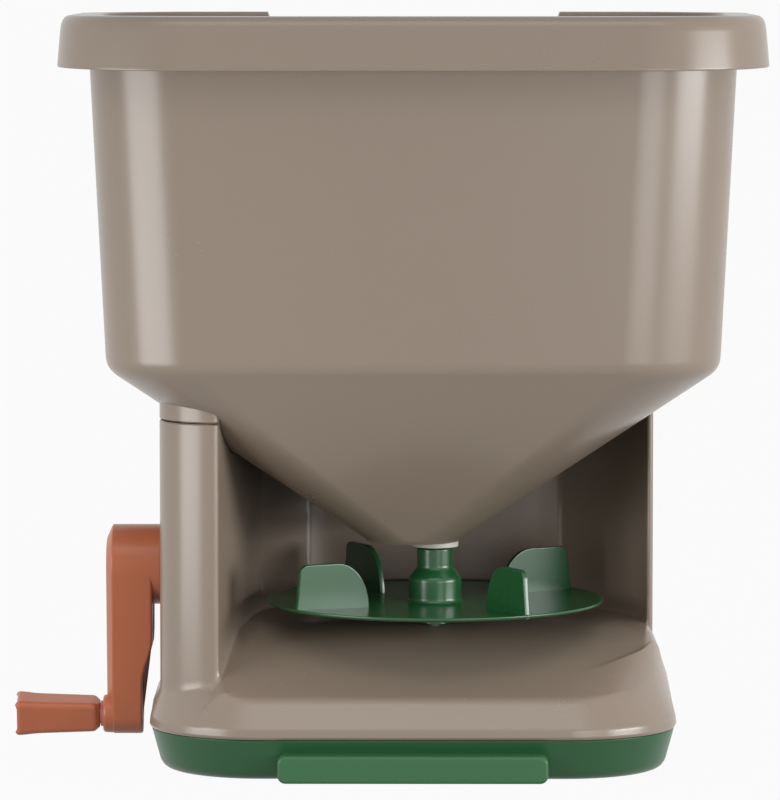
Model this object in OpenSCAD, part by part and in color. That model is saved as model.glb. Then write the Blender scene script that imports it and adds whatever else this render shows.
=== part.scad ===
// Hand crank spreader: hopper, open rotor bay, crank gear train and flow gate.
// X runs to the right of the front view, Y to the back, Z up from the resting face.

/* [Hopper] */
// Width of the hopper just under its rim
hopper_w_top = 255; // [240:1:270]
// Width of the hopper at its shoulder
hopper_w_low = 242.2; // [230:1:255]
// Depth of the hopper just under its rim
hopper_d_top = 162; // [150:1:180]
// Depth of the hopper at its shoulder
hopper_d_low = 150; // [140:1:165]
// Corner radius of the hopper
hopper_corner_r = 40; // [30:1:50]
// Wall of the hopper
hopper_wall = 2.5; // [2:0.1:3.5]
// Height of the shoulder, where the funnel begins
shoulder_z = 158; // [150:1:170]
// Height of the rim's top face
rim_top_z = 297; // [280:1:320]
// Height of the rim's turned-down skirt
rim_h = 19.5; // [12:0.5:26]
// How far the rim stands out past the wall
rim_out = 12; // [8:0.5:16]
// Width of the step in the rear rim
notch_w = 124; // [80:1:150]
// Depth of the step in the rear rim
notch_depth = 4; // [2:0.5:8]

/* [Outlet] */
// Height of the outlet's flat underside
outlet_z = 87.3; // [86:0.1:90]
// Radius of the outlet boss
outlet_r = 19.5; // [18:0.5:24]
// Thickness of the floor over the outlet
outlet_floor = 7.7; // [7:0.1:10]
// Radius of the drop hole
drop_r = 6; // [4:0.5:7]

/* [Housing] */
// Width of the housing's left part, taken as a symmetric body
housing_w = 200; // [190:1:210]
// Depth of the housing
housing_d = 126; // [120:1:134]
// Radius of the housing's rear left corner
housing_corner_r = 43; // [38:1:46]
// Radius of the pillar's front corner
pillar_front_r = 24; // [20:1:28]
// Wall of the housing
housing_wall = 2.5; // [2:0.1:3]
// Height of the seam between housing and hopper
collar_z = 138; // [134:1:141]
// Inside radius of the curved bay wall
bay_r = 85; // [80:0.5:88]
// Place of the right wall's front edge
right_edge_y = -3; // [-20:1:10]
// Height of the platform's plane at the middle of the part
platform_z = 43.8; // [42:0.1:46]
// Forward slope of the platform, in degrees
platform_slope = 9.6; // [6:0.1:11]
// How far the skirt stands out past the housing's sides
skirt_out = 4.3; // [2:0.1:8]
// Depth of the skirt
skirt_d = 146; // [140:1:156]
// Corner radius of the skirt
skirt_corner_r = 45; // [40:1:55]
// Height of the seam between skirt and base cover
base_seam_z = 16.5; // [14:0.5:17]

/* [Base] */
// Floor of the base cover
base_floor = 3; // [2:0.5:4]
// How far the base cover draws in at its foot
base_draw = 3.2; // [2:0.1:5]
// Width of the front foot
foot_w = 105.5; // [80:0.5:120]
// Height of the front foot
foot_h = 11; // [8:0.5:13]

/* [Drive] */
// Place of the rotor axis to the right of the hopper's middle
rotor_x = 8.7; // [6:0.1:9]
// Place of the rotor axis in front of the hopper's middle
drive_y = -10; // [-14:0.5:-6]
// Height of the crank axis
crank_z = 76.4; // [74:0.1:79]
// Module of the spur gears
spur_module = 1.5; // [1.4:0.05:1.5]
// Teeth of the crank gear
crank_teeth = 54; // [51:3:54]
// Teeth of the lay pinion
pinion_teeth = 18; // [17:1:18]
// Module of the bevel gears
bevel_module = 1; // [0.9:0.05:1]
// Teeth of the lay bevel
lay_bevel_teeth = 24; // [24:2:26]
// Teeth of the spinner bevel
spinner_bevel_teeth = 12; // [12:1:13]
// Radius of the crank shaft
crank_shaft_r = 4; // [3.5:0.1:4.5]
// Radius of the lay shaft
lay_shaft_r = 3; // [2.5:0.1:3.5]
// Radius of the spinner shaft
spinner_shaft_r = 3; // [2.6:0.1:3.5]

/* [Rotor] */
// Radius of the rotor disc
rotor_r = 67.1; // [60:0.1:69]
// Height of the disc's rim
rotor_rim_z = 63.8; // [62:0.1:65]
// Height of the fins' top edge
fin_top_z = 81; // [76:0.5:82.5]
// Distance from the axis to a fin's inner end
fin_in_r = 33.5; // [25:0.5:40]
// Thickness of a fin
fin_t = 2.2; // [1.8:0.1:3]
// Radius of the hub's lower part
hub_low_r = 10.6; // [9:0.1:12]
// Radius of the hub's upper part
hub_top_r = 7.2; // [6:0.1:8]

/* [Crank] */
// Distance from the crank axis to the grip axis
crank_throw = 60.4; // [56:0.1:62]
// Radius of the arm's hub
arm_hub_r = 16; // [13:0.5:18]
// Radius of the arm's lower end
arm_end_r = 8; // [7:0.5:9]
// Thickness of the arm
arm_t = 18.5; // [16:0.5:22]
// Length of the grip
grip_len = 34.5; // [30:0.5:60]
// Side of the square grip at its outer end
grip_side = 14.8; // [12:0.1:18]

/* [Gate] */
// Width of the gate plate
gate_w = 15; // [14:0.5:16]
// Thickness of the gate plate
gate_t = 2; // [1.5:0.1:2.2]

/* [Handle] */
// Width of the handle
handle_w = 28; // [22:1:36]
// Thickness of the handle's bar and arms
handle_bar = 25; // [20:1:28]
// Gap for the fingers behind the hopper
finger_gap = 35; // [30:1:45]
// Height of the upper arm's middle line
handle_top_z = 236; // [215:1:250]
// Height of the lower arm's middle line
handle_low_z = 124; // [122:0.5:125]

/* [Hidden] */
$fn = 64;
// Small steps and clearances
eps = 0.02;
cut = 1;
run_fit = 0.05;
pin_fit = 0.02;
seat_gap = 0.1;
part_gap = 0.4;
corner_steps = 6;

// Colours
taupe = [0.59, 0.54, 0.48];
pale = [0.78, 0.75, 0.71];
deep_green = [0.15, 0.35, 0.20];
foot_green = [0.24, 0.44, 0.29];
rotor_green = [0.11, 0.36, 0.19];
terracotta = [0.69, 0.38, 0.26];
steel = [0.66, 0.67, 0.69];
white_plastic = [0.88, 0.87, 0.84];
dark_plastic = [0.22, 0.22, 0.22];

// Hopper and outlet
shoulder_round = 2.5;
rim_wall = 2.5;
rim_flare = 1.8;
rim_edge = 2.2;
rim_under_z = rim_top_z - rim_wall * 2;
skirt_low_z = rim_top_z - rim_h;
outlet_edge = 1.2;
outlet_square = 1.5;
floor_z = outlet_z + outlet_floor;
floor_r = outlet_r - hopper_wall;
drop_x = -(outlet_r / 2);
wall_rise = rim_under_z - shoulder_z;

// Housing
half_w = housing_w / 2;
half_d = housing_d / 2;
bay_back_y = half_d - housing_wall;
pillar_x = -half_w + housing_corner_r;
pillar_y = half_d - housing_corner_r;
// The pillar's inner wall runs slightly inward to the back
pillar_face_in = 24.2;
pillar_face_back = 4.3;
pillar_edge_x = -half_w + pillar_face_in;
pillar_edge_y = -half_d + pillar_face_back;
pillar_front_step = 1.6;
pillar_front_y = pillar_edge_y - pillar_front_step;
pillar_lean = 0.137;
slope_rise = tan(platform_slope);
skirt_w = housing_w + 2 * skirt_out;
skirt_back = 3;
skirt_y = half_d + skirt_back - skirt_d / 2;
skirt_tuck = 0.8;
skirt_bulge = 5.5;
skirt_bulge_z = base_seam_z + skirt_bulge;
wall_lift = 6;
wall_start_z = skirt_bulge_z + wall_lift;
// How far the platform's rounded edge is drawn in and dropped, from the side to the top
platform_edge = [[1, 7], [3.2, 2.2], [6.4, 0]];
collar_h = 14;

// Gear train
spur_distance = spur_module * (crank_teeth + pinion_teeth) / 2;
crank_y = 0;
lay_z = crank_z - sqrt(spur_distance * spur_distance - drive_y * drive_y);
mesh_angle = atan2(lay_z - crank_z, drive_y - crank_y);
backlash = 0.2;
pressure_angle = 20;
flank_steps = 3;
gear_w = 8;
pinion_w = 9;
gear_inset = 9.5;
gear_x = -half_w + housing_wall + gear_inset;
lay_bevel_r = lay_bevel_teeth * bevel_module / 2;
spinner_bevel_r = spinner_bevel_teeth * bevel_module / 2;
bevel_face = 4;
bevel_back = 1.5;
flat_depth = 0.8;
bevel_hub_wall = 3;
bevel_hub_len = 5;
stub_step = 1;
stub_r = spinner_shaft_r - stub_step;
gear_boss = 4;

// Bearings
bush_wall = 2;
flange_t = 1.5;
boss_wall = 2.5;
boss_deep = 4;
boss_in_x = -half_w + housing_wall + boss_deep;
inner_boss_gap = 2;
inner_boss_len = 10;
inner_bush_len = 5.6;
inner_boss_x = gear_x + gear_w + inner_boss_gap;
lay_bush_len = 6;
crank_flange = 2.5;
inner_flange = 2;
lay_flange = 1.5;
low_flange = 1.4;
thin_flange_t = 1.2;
bracket_back = 24;
bracket_x = rotor_x - bracket_back;
bracket_t = 4;
bracket_half = 14;
bracket_foot = 9;
bracket_screw_y = 9;
spinner_boss_h = 6.7;
spinner_boss_z = platform_z + spinner_boss_h;
low_flange_t = 2;
bevel_room = 1.2;
spinner_bush_low_z = lay_z + lay_bevel_r + bevel_back + bevel_room;
collar_flange_t = 2.4;
collar_flange_r = 9.3;

// Rotor and spinner shaft
disc_t = 1.6;
disc_dish = 1.4;
rotor_lip = 1.2;
hub_gap = 0.6;
hub_neck_h = 8;
hub_cone_h = 4;
hub_skirt = 3;
sleeve_gap = 0.8;
sleeve_wall = 1.6;
sleeve_clear = 1.6;
sleeve_bore = spinner_shaft_r + bush_wall + boss_wall + sleeve_gap;
sleeve_z = platform_z + sleeve_clear;
hub_top_z = outlet_z - collar_flange_t - hub_gap;
hub_step_z = hub_top_z - hub_neck_h;
hub_shoulder_z = hub_step_z - hub_cone_h;
disc_z = rotor_rim_z - disc_dish;
rotor_base_z = disc_z - disc_t - hub_skirt;
fin_count = 4;
fin_first = 35;
fin_sweep = 7;
fin_curve = 14;
fin_corner = 3.5;
fin_taper = 1.8;
rotor_pin_r = 1.25;
rotor_pin_lift = 5;
rotor_pin_z = disc_z + rotor_pin_lift;
bush_rise = 1;
bush_top_z = floor_z + bush_rise;
clip_t = 1;
clip_wall = 2;
agitator_gap = 1;
agitator_z = bush_top_z + clip_t + agitator_gap;
agitator_h = 7;
agitator_r = 5.5;
agitator_reach = 13;
agitator_wire = 1.5;
spinner_top_z = agitator_z + agitator_h + agitator_gap;

// Crank
wall_out_x = -half_w;
washer_t = 0.6;
arm_gap = 0.3;
arm_in_x = wall_out_x - flange_t - washer_t - arm_gap;
hub_boss = 1.8;
arm_face_x = arm_in_x - hub_boss;
arm_out_x = arm_face_x - arm_t;
arm_clear = 4.1;
// The arm's lower part stands clear of the skirt
arm_step = skirt_w / 2 + arm_clear + arm_face_x;
arm_step_drop = 29;
arm_step_z = crank_z - arm_step_drop;
arm_step_run = 18;
end_boss = 1.6;
end_boss_r = 7.6;
grip_z = crank_z - crank_throw;
grip_neck = 1.4;
grip_in_x = arm_out_x - end_boss - grip_neck;
grip_pin_r = 3;
grip_pin_deep = 10;
grip_turn = 14;
grip_small = 0.83;
grip_round = 2.6;
grip_recess = 3;
grip_end_in = 2;
grip_edge = 1.2;
grip_lobe = 3;
grip_waist = 8;
grip_waist_in = 1;
grip_tail = 2;
grip_tail_in = 3;
grip_head_r = 4.6;
grip_head_t = 1.6;
crank_screw_r = 2;
crank_head_r = 3.8;
crank_head_t = 2.6;
crank_recess = 3.4;
crank_web = 4;
crank_screw_bite = 8;
hub_boss_in = 2;
neck_wall = 2.2;
washer_out = 2;
crank_shaft_out_x = arm_out_x + crank_recess + crank_web;
crank_shaft_in_x = inner_boss_x + inner_bush_len - seat_gap;

// Gate
gate_lift = 2.3;
gate_z = outlet_z + gate_lift;
gate_gap = 0.3;
gate_lap = 2.5;
gate_front_y = drive_y - drop_r - gate_lap;
gate_tail = 9;
gate_back_y = half_d + gate_tail;
tunnel_wall = 2;
tunnel_len = 34;
tunnel_back_y = drive_y + tunnel_len;
knob_w = 22;
knob_d = 12;
knob_h = 16;
knob_off = 0.6;
gate_rivet_r = 1.5;
knob_y = half_d + knob_off;

// Handle
handle_wall = 2.6;
bar_y = hopper_back_y(handle_top_z) + finger_gap + handle_bar / 2;
handle_post_r = 4.5;

// Fasteners
screw_r = 1.7;
screw_head_r = 3.4;
screw_head_t = 2.2;
screw_drive_r = 1.5;
screw_drive_deep = 1.2;
post_r = 4.6;
post_collar = 1;
post_inset_x = 39;
post_inset_front = 11;
post_inset_back = 17;
post_x = half_w - post_inset_x;
post_front_y = skirt_y - skirt_d / 2 + post_inset_front;
post_back_y = half_d - post_inset_back;
// The rear posts stand half in the wall at the bay's left
post_wall_in = 5.8;
bay_left_x = rotor_x - sqrt(pow(bay_r, 2) - pow(post_back_y - drive_y, 2));
post_back_x = post_wall_in - max(bay_left_x, pillar_line_x(post_back_y));
posts = [
    for (side = [-1, 1]) each [[side * post_x, post_front_y], [side * post_back_x, post_back_y]]
];
screw_bite = 9;
screw_fit = 0.2;
head_fit = 0.3;
base_head_z = 6;
lug_w = 12;
lug_t = 5;
lug_xs = [-30, 40];
lug_rise = 12;
lug_screw_z = collar_z - lug_rise / 2;
foot_peg_r = 2;
foot_peg_len = 5;
foot_peg_root = 2;
foot_bore = 12;
foot_edge = 1;
foot_out = 5.5;
foot_corner = 3;
base_round = 2.8;
base_round_in = 3.8;
handle_foot = 12;
handle_head_deep = 4;
handle_posts_z = [handle_low_z, (handle_low_z + handle_top_z) / 2, handle_top_z];
grip_out_x = grip_in_x - grip_len;
lay_end_x = rotor_x - spinner_bevel_r + 1;
gate_mid_z = gate_z + gate_t / 2;
rivet_y = (knob_y + gate_back_y) / 2;

// Depth of the hopper's back face at a height
function hopper_back_y(z) =
    hopper_d_low / 2 + (hopper_d_top - hopper_d_low) / 2 * (z - shoulder_z) / wall_rise;

// A rounded rectangle of points at one height, anticlockwise from above
function ring(hx, hy, r, cy, z) = [
    for (q = [0:3], i = [0:corner_steps])
        let (
            a = (q + i / corner_steps) * 90,
            sx = (q == 0 || q == 3) ? 1 : -1,
            sy = (q < 2) ? 1 : -1
        )
        [sx * (hx - r) + r * cos(a), cy + sy * (hy - r) + r * sin(a), z]
];

// A ring that is grown or drawn in by one amount all round
function grown_ring(hx, hy, r, by, cy, z) = ring(hx + by, hy + by, r + by, cy, z);

// The platform's height at a place along Y
function platform_at(y) = platform_z + y * slope_rise;

// A ring laid on the platform's plane, a little below it
function tilted(points, below) = [for (p = points) [p[0], p[1], platform_at(p[1]) - below]];

// A closed skin over rings that have equal counts of points
module loft(rings) {
    n = len(rings[0]);
    last = len(rings) - 1;
    sides = [
        for (k = [0:last - 1], i = [0:n - 1])
            let (j = (i + 1) % n, a = k * n + i, b = a + n, c = (k + 1) * n + j, d = k * n + j)
            each [[a, b, c], [a, c, d]]
    ];
    bottom = [for (i = [0:n - 1]) i];
    top = [for (i = [n - 1:-1:0]) last * n + i];
    polyhedron(points = [for (r = rings) each r], faces = concat([bottom], sides, [top]));
}

// A cylinder along X between two places
module x_bar(x0, x1, r, y = 0, z = 0) {
    translate([x0, y, z]) rotate([0, 90, 0]) cylinder(h = x1 - x0, r = r);
}

// A cylinder along Y between two places
module y_bar(y0, y1, r, x = 0, z = 0) {
    translate([x, y0, z]) rotate([-90, 0, 0]) cylinder(h = y1 - y0, r = r);
}

// A cylinder along Z between two heights
module z_bar(z0, z1, r, x = 0, y = 0) {
    translate([x, y, z0]) cylinder(h = z1 - z0, r = r);
}

// A shape drawn in Y and Z, given a thickness along X
module along_x(x0, t) {
    translate([x0, 0, 0]) rotate([90, 0, 90]) linear_extrude(t) children();
}

// A pan head screw that points along +Z, its seat at the origin
module screw(length, r = screw_r, head_r = screw_head_r, head_t = screw_head_t) {
    difference() {
        union() {
            cylinder(h = length, r = r);
            translate([0, 0, -head_t]) cylinder(h = head_t, r = head_r);
        }
        translate([0, 0, -head_t - cut])
            cylinder(h = screw_drive_deep + cut, r = screw_drive_r, $fn = 6);
    }
}

// A sleeve bearing along +Z with a flange below the origin
module flanged_bush(bore_r, length, flange_r, flange_h) {
    difference() {
        union() {
            cylinder(h = length, r = bore_r + bush_wall);
            translate([0, 0, -flange_h]) cylinder(h = flange_h, r = flange_r);
        }
        translate([0, 0, -flange_h - cut])
            cylinder(h = length + flange_h + 2 * cut, r = bore_r + run_fit);
    }
}

// A round bore with a flat on its upper side
module d_outline(r, flat) {
    difference() {
        circle(r);
        translate([-r, r - flat]) square([2 * r, r]);
    }
}

// Involute flank: angle past the base circle, and where a flank starts and ends
function unwound(rb, rho) = sqrt(max(0, (rho / rb) * (rho / rb) - 1)) * 180 / PI;
function involute(t) = t - atan(t * PI / 180);

// One tooth's outline as radius and angle from its middle, for a pitch radius
function tooth(pitch_r, m, half) =
    let (
        rb = pitch_r * cos(pressure_angle),
        t0 = unwound(rb, pitch_r - 1.25 * m),
        t1 = unwound(rb, pitch_r + m),
        at_pitch = involute(unwound(rb, pitch_r)),
        flank = [
            for (k = [0:flank_steps])
                let (t = t0 + (t1 - t0) * k / flank_steps, rad = t * PI / 180)
                [rb * sqrt(1 + rad * rad), half + at_pitch - involute(t)]
        ],
        root = [pitch_r - 1.25 * m, flank[0][1]]
    )
    concat(
        [[root[0], -root[1]]],
        [for (p = flank) if (p[0] > root[0] + eps) [p[0], -p[1]]],
        [for (k = [flank_steps:-1:0]) if (flank[k][0] > root[0] + eps) flank[k]],
        [root]
    );

// A spur gear's outline with a tooth on the X axis
module spur_outline(teeth, m) {
    pitch_r = teeth * m / 2;
    half = 90 / teeth - backlash / 2 / pitch_r * 90 / PI;
    profile = tooth(pitch_r, m, half);
    polygon([
        for (k = [0:teeth - 1], p = profile)
            let (a = k * 360 / teeth + p[1])
            [p[0] * cos(a), p[0] * sin(a)]
    ]);
}

// One ring of a bevel gear's teeth, scaled towards the apex at the origin
function bevel_ring(teeth, m, mate_r, s) =
    let (
        r = teeth * m / 2,
        cone = atan2(r, mate_r),
        back_r = r / cos(cone),
        half = 90 / teeth * cos(cone) - backlash / 2 / back_r * 90 / PI,
        profile = tooth(back_r, m, half)
    )
    [
        for (k = [0:teeth - 1], p = profile)
            let (
                a = k * 360 / teeth + p[1] / cos(cone),
                out = (r + (p[0] - back_r) * cos(cone)) * s,
                along = (mate_r - (p[0] - back_r) * sin(cone)) * s
            )
            [out * cos(a), out * sin(a), along]
    ];

// A flat ring with the same angles as a ring of teeth
function flat_ring(points, r, z) = [
    for (p = points) let (l = norm([p[0], p[1]])) [p[0] / l * r, p[1] / l * r, z]
];

// A bevel gear that opens along +Z from its apex, with a hub behind it
module bevel_gear(teeth, m, mate_r, bore_r, hub_r, hub_len) {
    r = teeth * m / 2;
    inner = 1 - bevel_face / norm([r, mate_r]);
    large = bevel_ring(teeth, m, mate_r, 1);
    small = bevel_ring(teeth, m, mate_r, inner);
    root_r = r - 1.4 * m;
    front_z = mate_r * inner - 0.1;
    back_z = mate_r + bevel_back;
    difference() {
        union() {
            loft([
                flat_ring(small, root_r * inner * 0.94, front_z),
                small,
                large,
                flat_ring(large, root_r, back_z)
            ]);
            translate([0, 0, back_z - cut / 2]) cylinder(h = hub_len + cut / 2, r = hub_r);
        }
        translate([0, 0, front_z - 2 * cut])
            cylinder(h = back_z + hub_len - front_z + 4 * cut, r = bore_r + pin_fit);
    }
}

// Hopper skins
function hopper_funnel(drop = 0) = [
    grown_ring(outlet_r, outlet_r, outlet_r - outlet_square, -outlet_edge, drive_y, outlet_z - drop),
    ring(outlet_r, outlet_r, outlet_r - outlet_square, drive_y, outlet_z + outlet_edge - drop),
    grown_ring(hopper_w_low / 2, hopper_d_low / 2, hopper_corner_r,
        -shoulder_round, 0, shoulder_z - shoulder_round / 2 - drop),
    ring(hopper_w_low / 2, hopper_d_low / 2, hopper_corner_r, 0, shoulder_z + shoulder_round - drop)
];

// The hopper's outside at its top, grown by an amount
function hopper_top_ring(by, z) =
    grown_ring(hopper_w_top / 2, hopper_d_top / 2, hopper_corner_r, by, 0, z);

module hopper_outside() {
    loft(concat(hopper_funnel(), [
        hopper_top_ring(0, rim_under_z),
        hopper_top_ring(rim_out - rim_flare - rim_wall, rim_under_z),
        hopper_top_ring(rim_out - rim_wall, skirt_low_z),
        hopper_top_ring(rim_out, skirt_low_z),
        hopper_top_ring(rim_out - rim_flare, rim_top_z - rim_edge),
        hopper_top_ring(rim_out - rim_flare - rim_edge, rim_top_z)
    ]));
}

module hopper_inside() {
    loft([
        ring(floor_r, floor_r, floor_r - outlet_square, drive_y, floor_z),
        grown_ring(hopper_w_low / 2, hopper_d_low / 2, hopper_corner_r,
            -hopper_wall, 0, shoulder_z + shoulder_round + hopper_wall / 2),
        hopper_top_ring(-hopper_wall, rim_under_z),
        hopper_top_ring(-hopper_wall, rim_top_z + cut)
    ]);
}

// Plan outlines of the housing
function pillar_line_x(y) = pillar_edge_x + (y - pillar_edge_y) * pillar_lean;

module left_block(inset) {
    hull() {
        translate([pillar_x, pillar_y]) circle(housing_corner_r - inset);
        translate([pillar_front_r - half_w, pillar_front_r + pillar_front_y]) circle(pillar_front_r - inset);
        translate([rotor_x, pillar_front_y + inset]) square([eps, half_d - pillar_front_y - 2 * inset]);
    }
}

module bay_round(grow) {
    intersection() {
        translate([rotor_x, drive_y]) circle(bay_r + grow, $fn = 128);
        translate([-housing_w, -housing_w]) square([2 * housing_w, housing_w + bay_back_y + grow]);
    }
}

// The open bay, with its left side on the pillar's inner wall
module bay_outline(grow) {
    far = 2 * housing_w;
    intersection() {
        polygon([
            [pillar_line_x(-far) - grow, -far],
            [far, -far],
            [far, far],
            [pillar_line_x(far) - grow, far]
        ]);
        union() {
            bay_round(grow);
            translate([-far, -far]) square([2 * far, far + right_edge_y + grow - housing_wall]);
        }
    }
}

module housing_outline() {
    left_block(0);
    intersection() {
        bay_round(housing_wall);
        translate([rotor_x, -housing_w]) square([housing_w, 2 * housing_w]);
    }
}

// Pillar and bay walls: all of the outline that isn't the bay or the pillar's cavity
module pillar_cavity() {
    difference() {
        left_block(housing_wall);
        bay_outline(housing_wall);
    }
}

module housing_walls() {
    difference() {
        housing_outline();
        bay_outline(0);
    }
}

// Rings of the skirt and platform, drawn in by an amount
function skirt_ring(by) = grown_ring(skirt_w / 2, skirt_d / 2, skirt_corner_r, by, skirt_y, 0);
function at_height(points, z) = [for (p = points) [p[0], p[1], z]];

module platform_skin(inset, low_z) {
    loft([
        at_height(skirt_ring(-skirt_tuck - inset), low_z),
        at_height(skirt_ring(-inset), skirt_bulge_z),
        for (e = platform_edge) tilted(skirt_ring(-e[0] - inset), e[1] + inset)
    ]);
}

// What stays solid inside the housing: screw posts and bearing bosses
module housing_bosses() {
    for (p = posts) z_bar(base_seam_z, platform_at(p[1]) + cut, post_r, p[0], p[1]);
    x_bar(-half_w - 2 * housing_wall, boss_in_x, lay_shaft_r + bush_wall + flange_t, drive_y, lay_z);
    x_bar(-half_w, boss_in_x, crank_shaft_r + bush_wall + boss_wall, crank_y, crank_z);
    x_bar(inner_boss_x, inner_boss_x + inner_boss_len,
        crank_shaft_r + bush_wall + boss_wall, crank_y, crank_z);
    z_bar(spinner_bush_low_z, platform_z, spinner_shaft_r + bush_wall + boss_wall, rotor_x, drive_y);
}

// Bodies of the casing
module hopper() {
    gate_top_z = gate_z + gate_t + gate_gap;
    tunnel_w = gate_w + 2 * gate_gap + 2 * tunnel_wall;
    color(taupe) difference() {
        union() {
            hopper_outside();
            translate([0, 0, collar_z + seat_gap]) linear_extrude(collar_h) difference() {
                housing_walls();
                pillar_cavity();
            }
            translate([drop_x - tunnel_w / 2, drive_y, outlet_z])
                cube([tunnel_w, tunnel_back_y - drive_y, gate_top_z + tunnel_wall - outlet_z]);
            for (x = lug_xs) translate([x - lug_w / 2, bay_back_y - seat_gap - lug_t, lug_screw_z - lug_t])
                cube([lug_w, lug_t, collar_z + lug_rise - lug_screw_z]);
        }
        hopper_inside();
        rear_notch();
        z_bar(outlet_z - cut, floor_z + cut, drop_r, drop_x, drive_y);
        z_bar(outlet_z - cut, floor_z + cut, spinner_shaft_r + bush_wall + pin_fit, rotor_x, drive_y);
        translate([drop_x - gate_w / 2 - gate_gap, gate_front_y - cut, gate_z - gate_gap])
            cube([gate_w + 2 * gate_gap, tunnel_back_y - gate_front_y + 2 * cut, gate_t + 2 * gate_gap]);
        for (x = lug_xs)
            y_bar(bay_back_y - 2 * lug_t, half_d + cut, screw_r + pin_fit, x, lug_screw_z);
        for (side = [-1, 1])
            y_bar(hopper_d_low / 2 - 2 * hopper_wall, hopper_d_top / 2 + 2 * hopper_wall,
                screw_r + pin_fit, side * handle_w / 4, handle_top_z);
    }
}

module rear_notch() {
    translate([0, hopper_d_top / 2 + rim_out + cut, 0]) rotate([90, 0, 0])
        linear_extrude(rim_out + 2 * hopper_wall + 2 * cut) polygon([
            [-notch_w / 2 - cut, rim_top_z + cut],
            [notch_w / 2 + cut, rim_top_z + cut],
            [notch_w / 2 - notch_depth, rim_top_z - notch_depth],
            [-notch_w / 2 + notch_depth, rim_top_z - notch_depth]
        ]);
}

module housing() {
    color(taupe) difference() {
        union() {
            platform_skin(0, base_seam_z);
            translate([0, 0, wall_start_z]) linear_extrude(collar_z - wall_start_z) housing_walls();
            z_bar(platform_z - housing_wall, spinner_boss_z,
                spinner_shaft_r + bush_wall + boss_wall, rotor_x, drive_y);
        }
        difference() {
            union() {
                platform_skin(housing_wall, base_seam_z - cut);
                translate([0, 0, base_seam_z - cut]) linear_extrude(collar_z - base_seam_z + 2 * cut)
                    pillar_cavity();
            }
            housing_bosses();
        }
        translate([0, 0, -part_gap]) loft(hopper_funnel());
        housing_bores();
    }
}

module housing_bores() {
    for (p = posts) z_bar(base_seam_z - cut, base_seam_z + screw_bite + cut, screw_r + pin_fit, p[0], p[1]);
    x_bar(-half_w - cut / 2, boss_in_x + cut, lay_shaft_r + bush_wall + pin_fit, drive_y, lay_z);
    x_bar(-half_w - 2 * cut, boss_in_x + cut, crank_shaft_r + bush_wall + pin_fit, crank_y, crank_z);
    x_bar(inner_boss_x - cut, inner_boss_x + inner_bush_len + seat_gap,
        crank_shaft_r + bush_wall + pin_fit, crank_y, crank_z);
    z_bar(spinner_bush_low_z - cut, spinner_boss_z + cut,
        spinner_shaft_r + bush_wall + pin_fit, rotor_x, drive_y);
    for (x = lug_xs) y_bar(bay_back_y - cut, half_d + cut, screw_r + screw_fit, x, lug_screw_z);
    for (side = [-1, 1])
        y_bar(bay_back_y - cut, half_d + cut, screw_r + pin_fit, side * handle_w / 4, handle_low_z);
    translate([drop_x - gate_w / 2 - gate_gap, bay_back_y - cut, gate_z - gate_gap])
        cube([gate_w + 2 * gate_gap, housing_wall + 2 * cut, gate_t + 2 * gate_gap]);
}

// Rings of the base cover, drawn in by an amount
module base_skin(inset, low_z, high_z) {
    loft([
        at_height(skirt_ring(-skirt_tuck - base_draw - base_round_in - inset), low_z),
        at_height(skirt_ring(-skirt_tuck - base_draw - inset), low_z + base_round),
        at_height(skirt_ring(-skirt_tuck - inset), high_z)
    ]);
}

module base_cover() {
    front_y = skirt_y - skirt_d / 2;
    color(deep_green) difference() {
        base_skin(0, 0, base_seam_z);
        difference() {
            base_skin(housing_wall, base_floor, base_seam_z + cut);
            for (p = posts) z_bar(0, base_seam_z, post_r + post_collar, p[0], p[1]);
            for (side = [-1, 1])
                z_bar(0, 2 * base_floor, post_r, bracket_x - bracket_foot / 2,
                    drive_y + side * bracket_screw_y);
        }
        for (p = posts) {
            z_bar(-cut, base_head_z, screw_head_r + head_fit, p[0], p[1]);
            z_bar(-cut, base_seam_z + cut, screw_r + screw_fit, p[0], p[1]);
        }
        for (side = [-1, 1])
            z_bar(base_floor / 2, 2 * base_floor + cut, screw_r + pin_fit,
                bracket_x - bracket_foot / 2, drive_y + side * bracket_screw_y);
        for (side = [-1, 1])
            y_bar(front_y - cut, front_y + foot_bore, foot_peg_r + pin_fit, side * foot_w / 4, foot_h / 2);
    }
}

// The base cover's front face at a height
function base_front_y(z) =
    let (
        seam_y = skirt_y - skirt_d / 2 + skirt_tuck,
        low_y = seam_y + base_draw,
        foot_y = low_y + base_round_in
    )
    z < base_round
        ? foot_y + (low_y - foot_y) * z / base_round
        : low_y + (seam_y - low_y) * (z - base_round) / (base_seam_z - base_round);

module front_foot() {
    face_y = skirt_y - skirt_d / 2 - foot_out;
    color(foot_green) union() {
        intersection() {
            along_x(-foot_w / 2, foot_w) polygon([
                [base_front_y(0) - seat_gap, 0],
                [base_front_y(base_round) - seat_gap, base_round],
                [base_front_y(foot_h) - seat_gap, foot_h],
                [face_y + foot_edge, foot_h],
                [face_y, foot_h - foot_edge],
                [face_y, foot_edge],
                [face_y + foot_edge, 0]
            ]);
            linear_extrude(foot_h) union() {
                translate([-foot_w / 2 + foot_corner, face_y])
                    square([foot_w - 2 * foot_corner, 4 * foot_out]);
                translate([-foot_w / 2, face_y + foot_corner]) square([foot_w, 4 * foot_out]);
                for (side = [-1, 1])
                    translate([side * (foot_w / 2 - foot_corner), face_y + foot_corner])
                        circle(foot_corner);
            }
        }
        for (side = [-1, 1])
            y_bar(base_front_y(foot_h / 2) - foot_peg_root, base_front_y(foot_h / 2) + foot_peg_len,
                foot_peg_r, side * foot_w / 4, foot_h / 2);
    }
}

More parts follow.
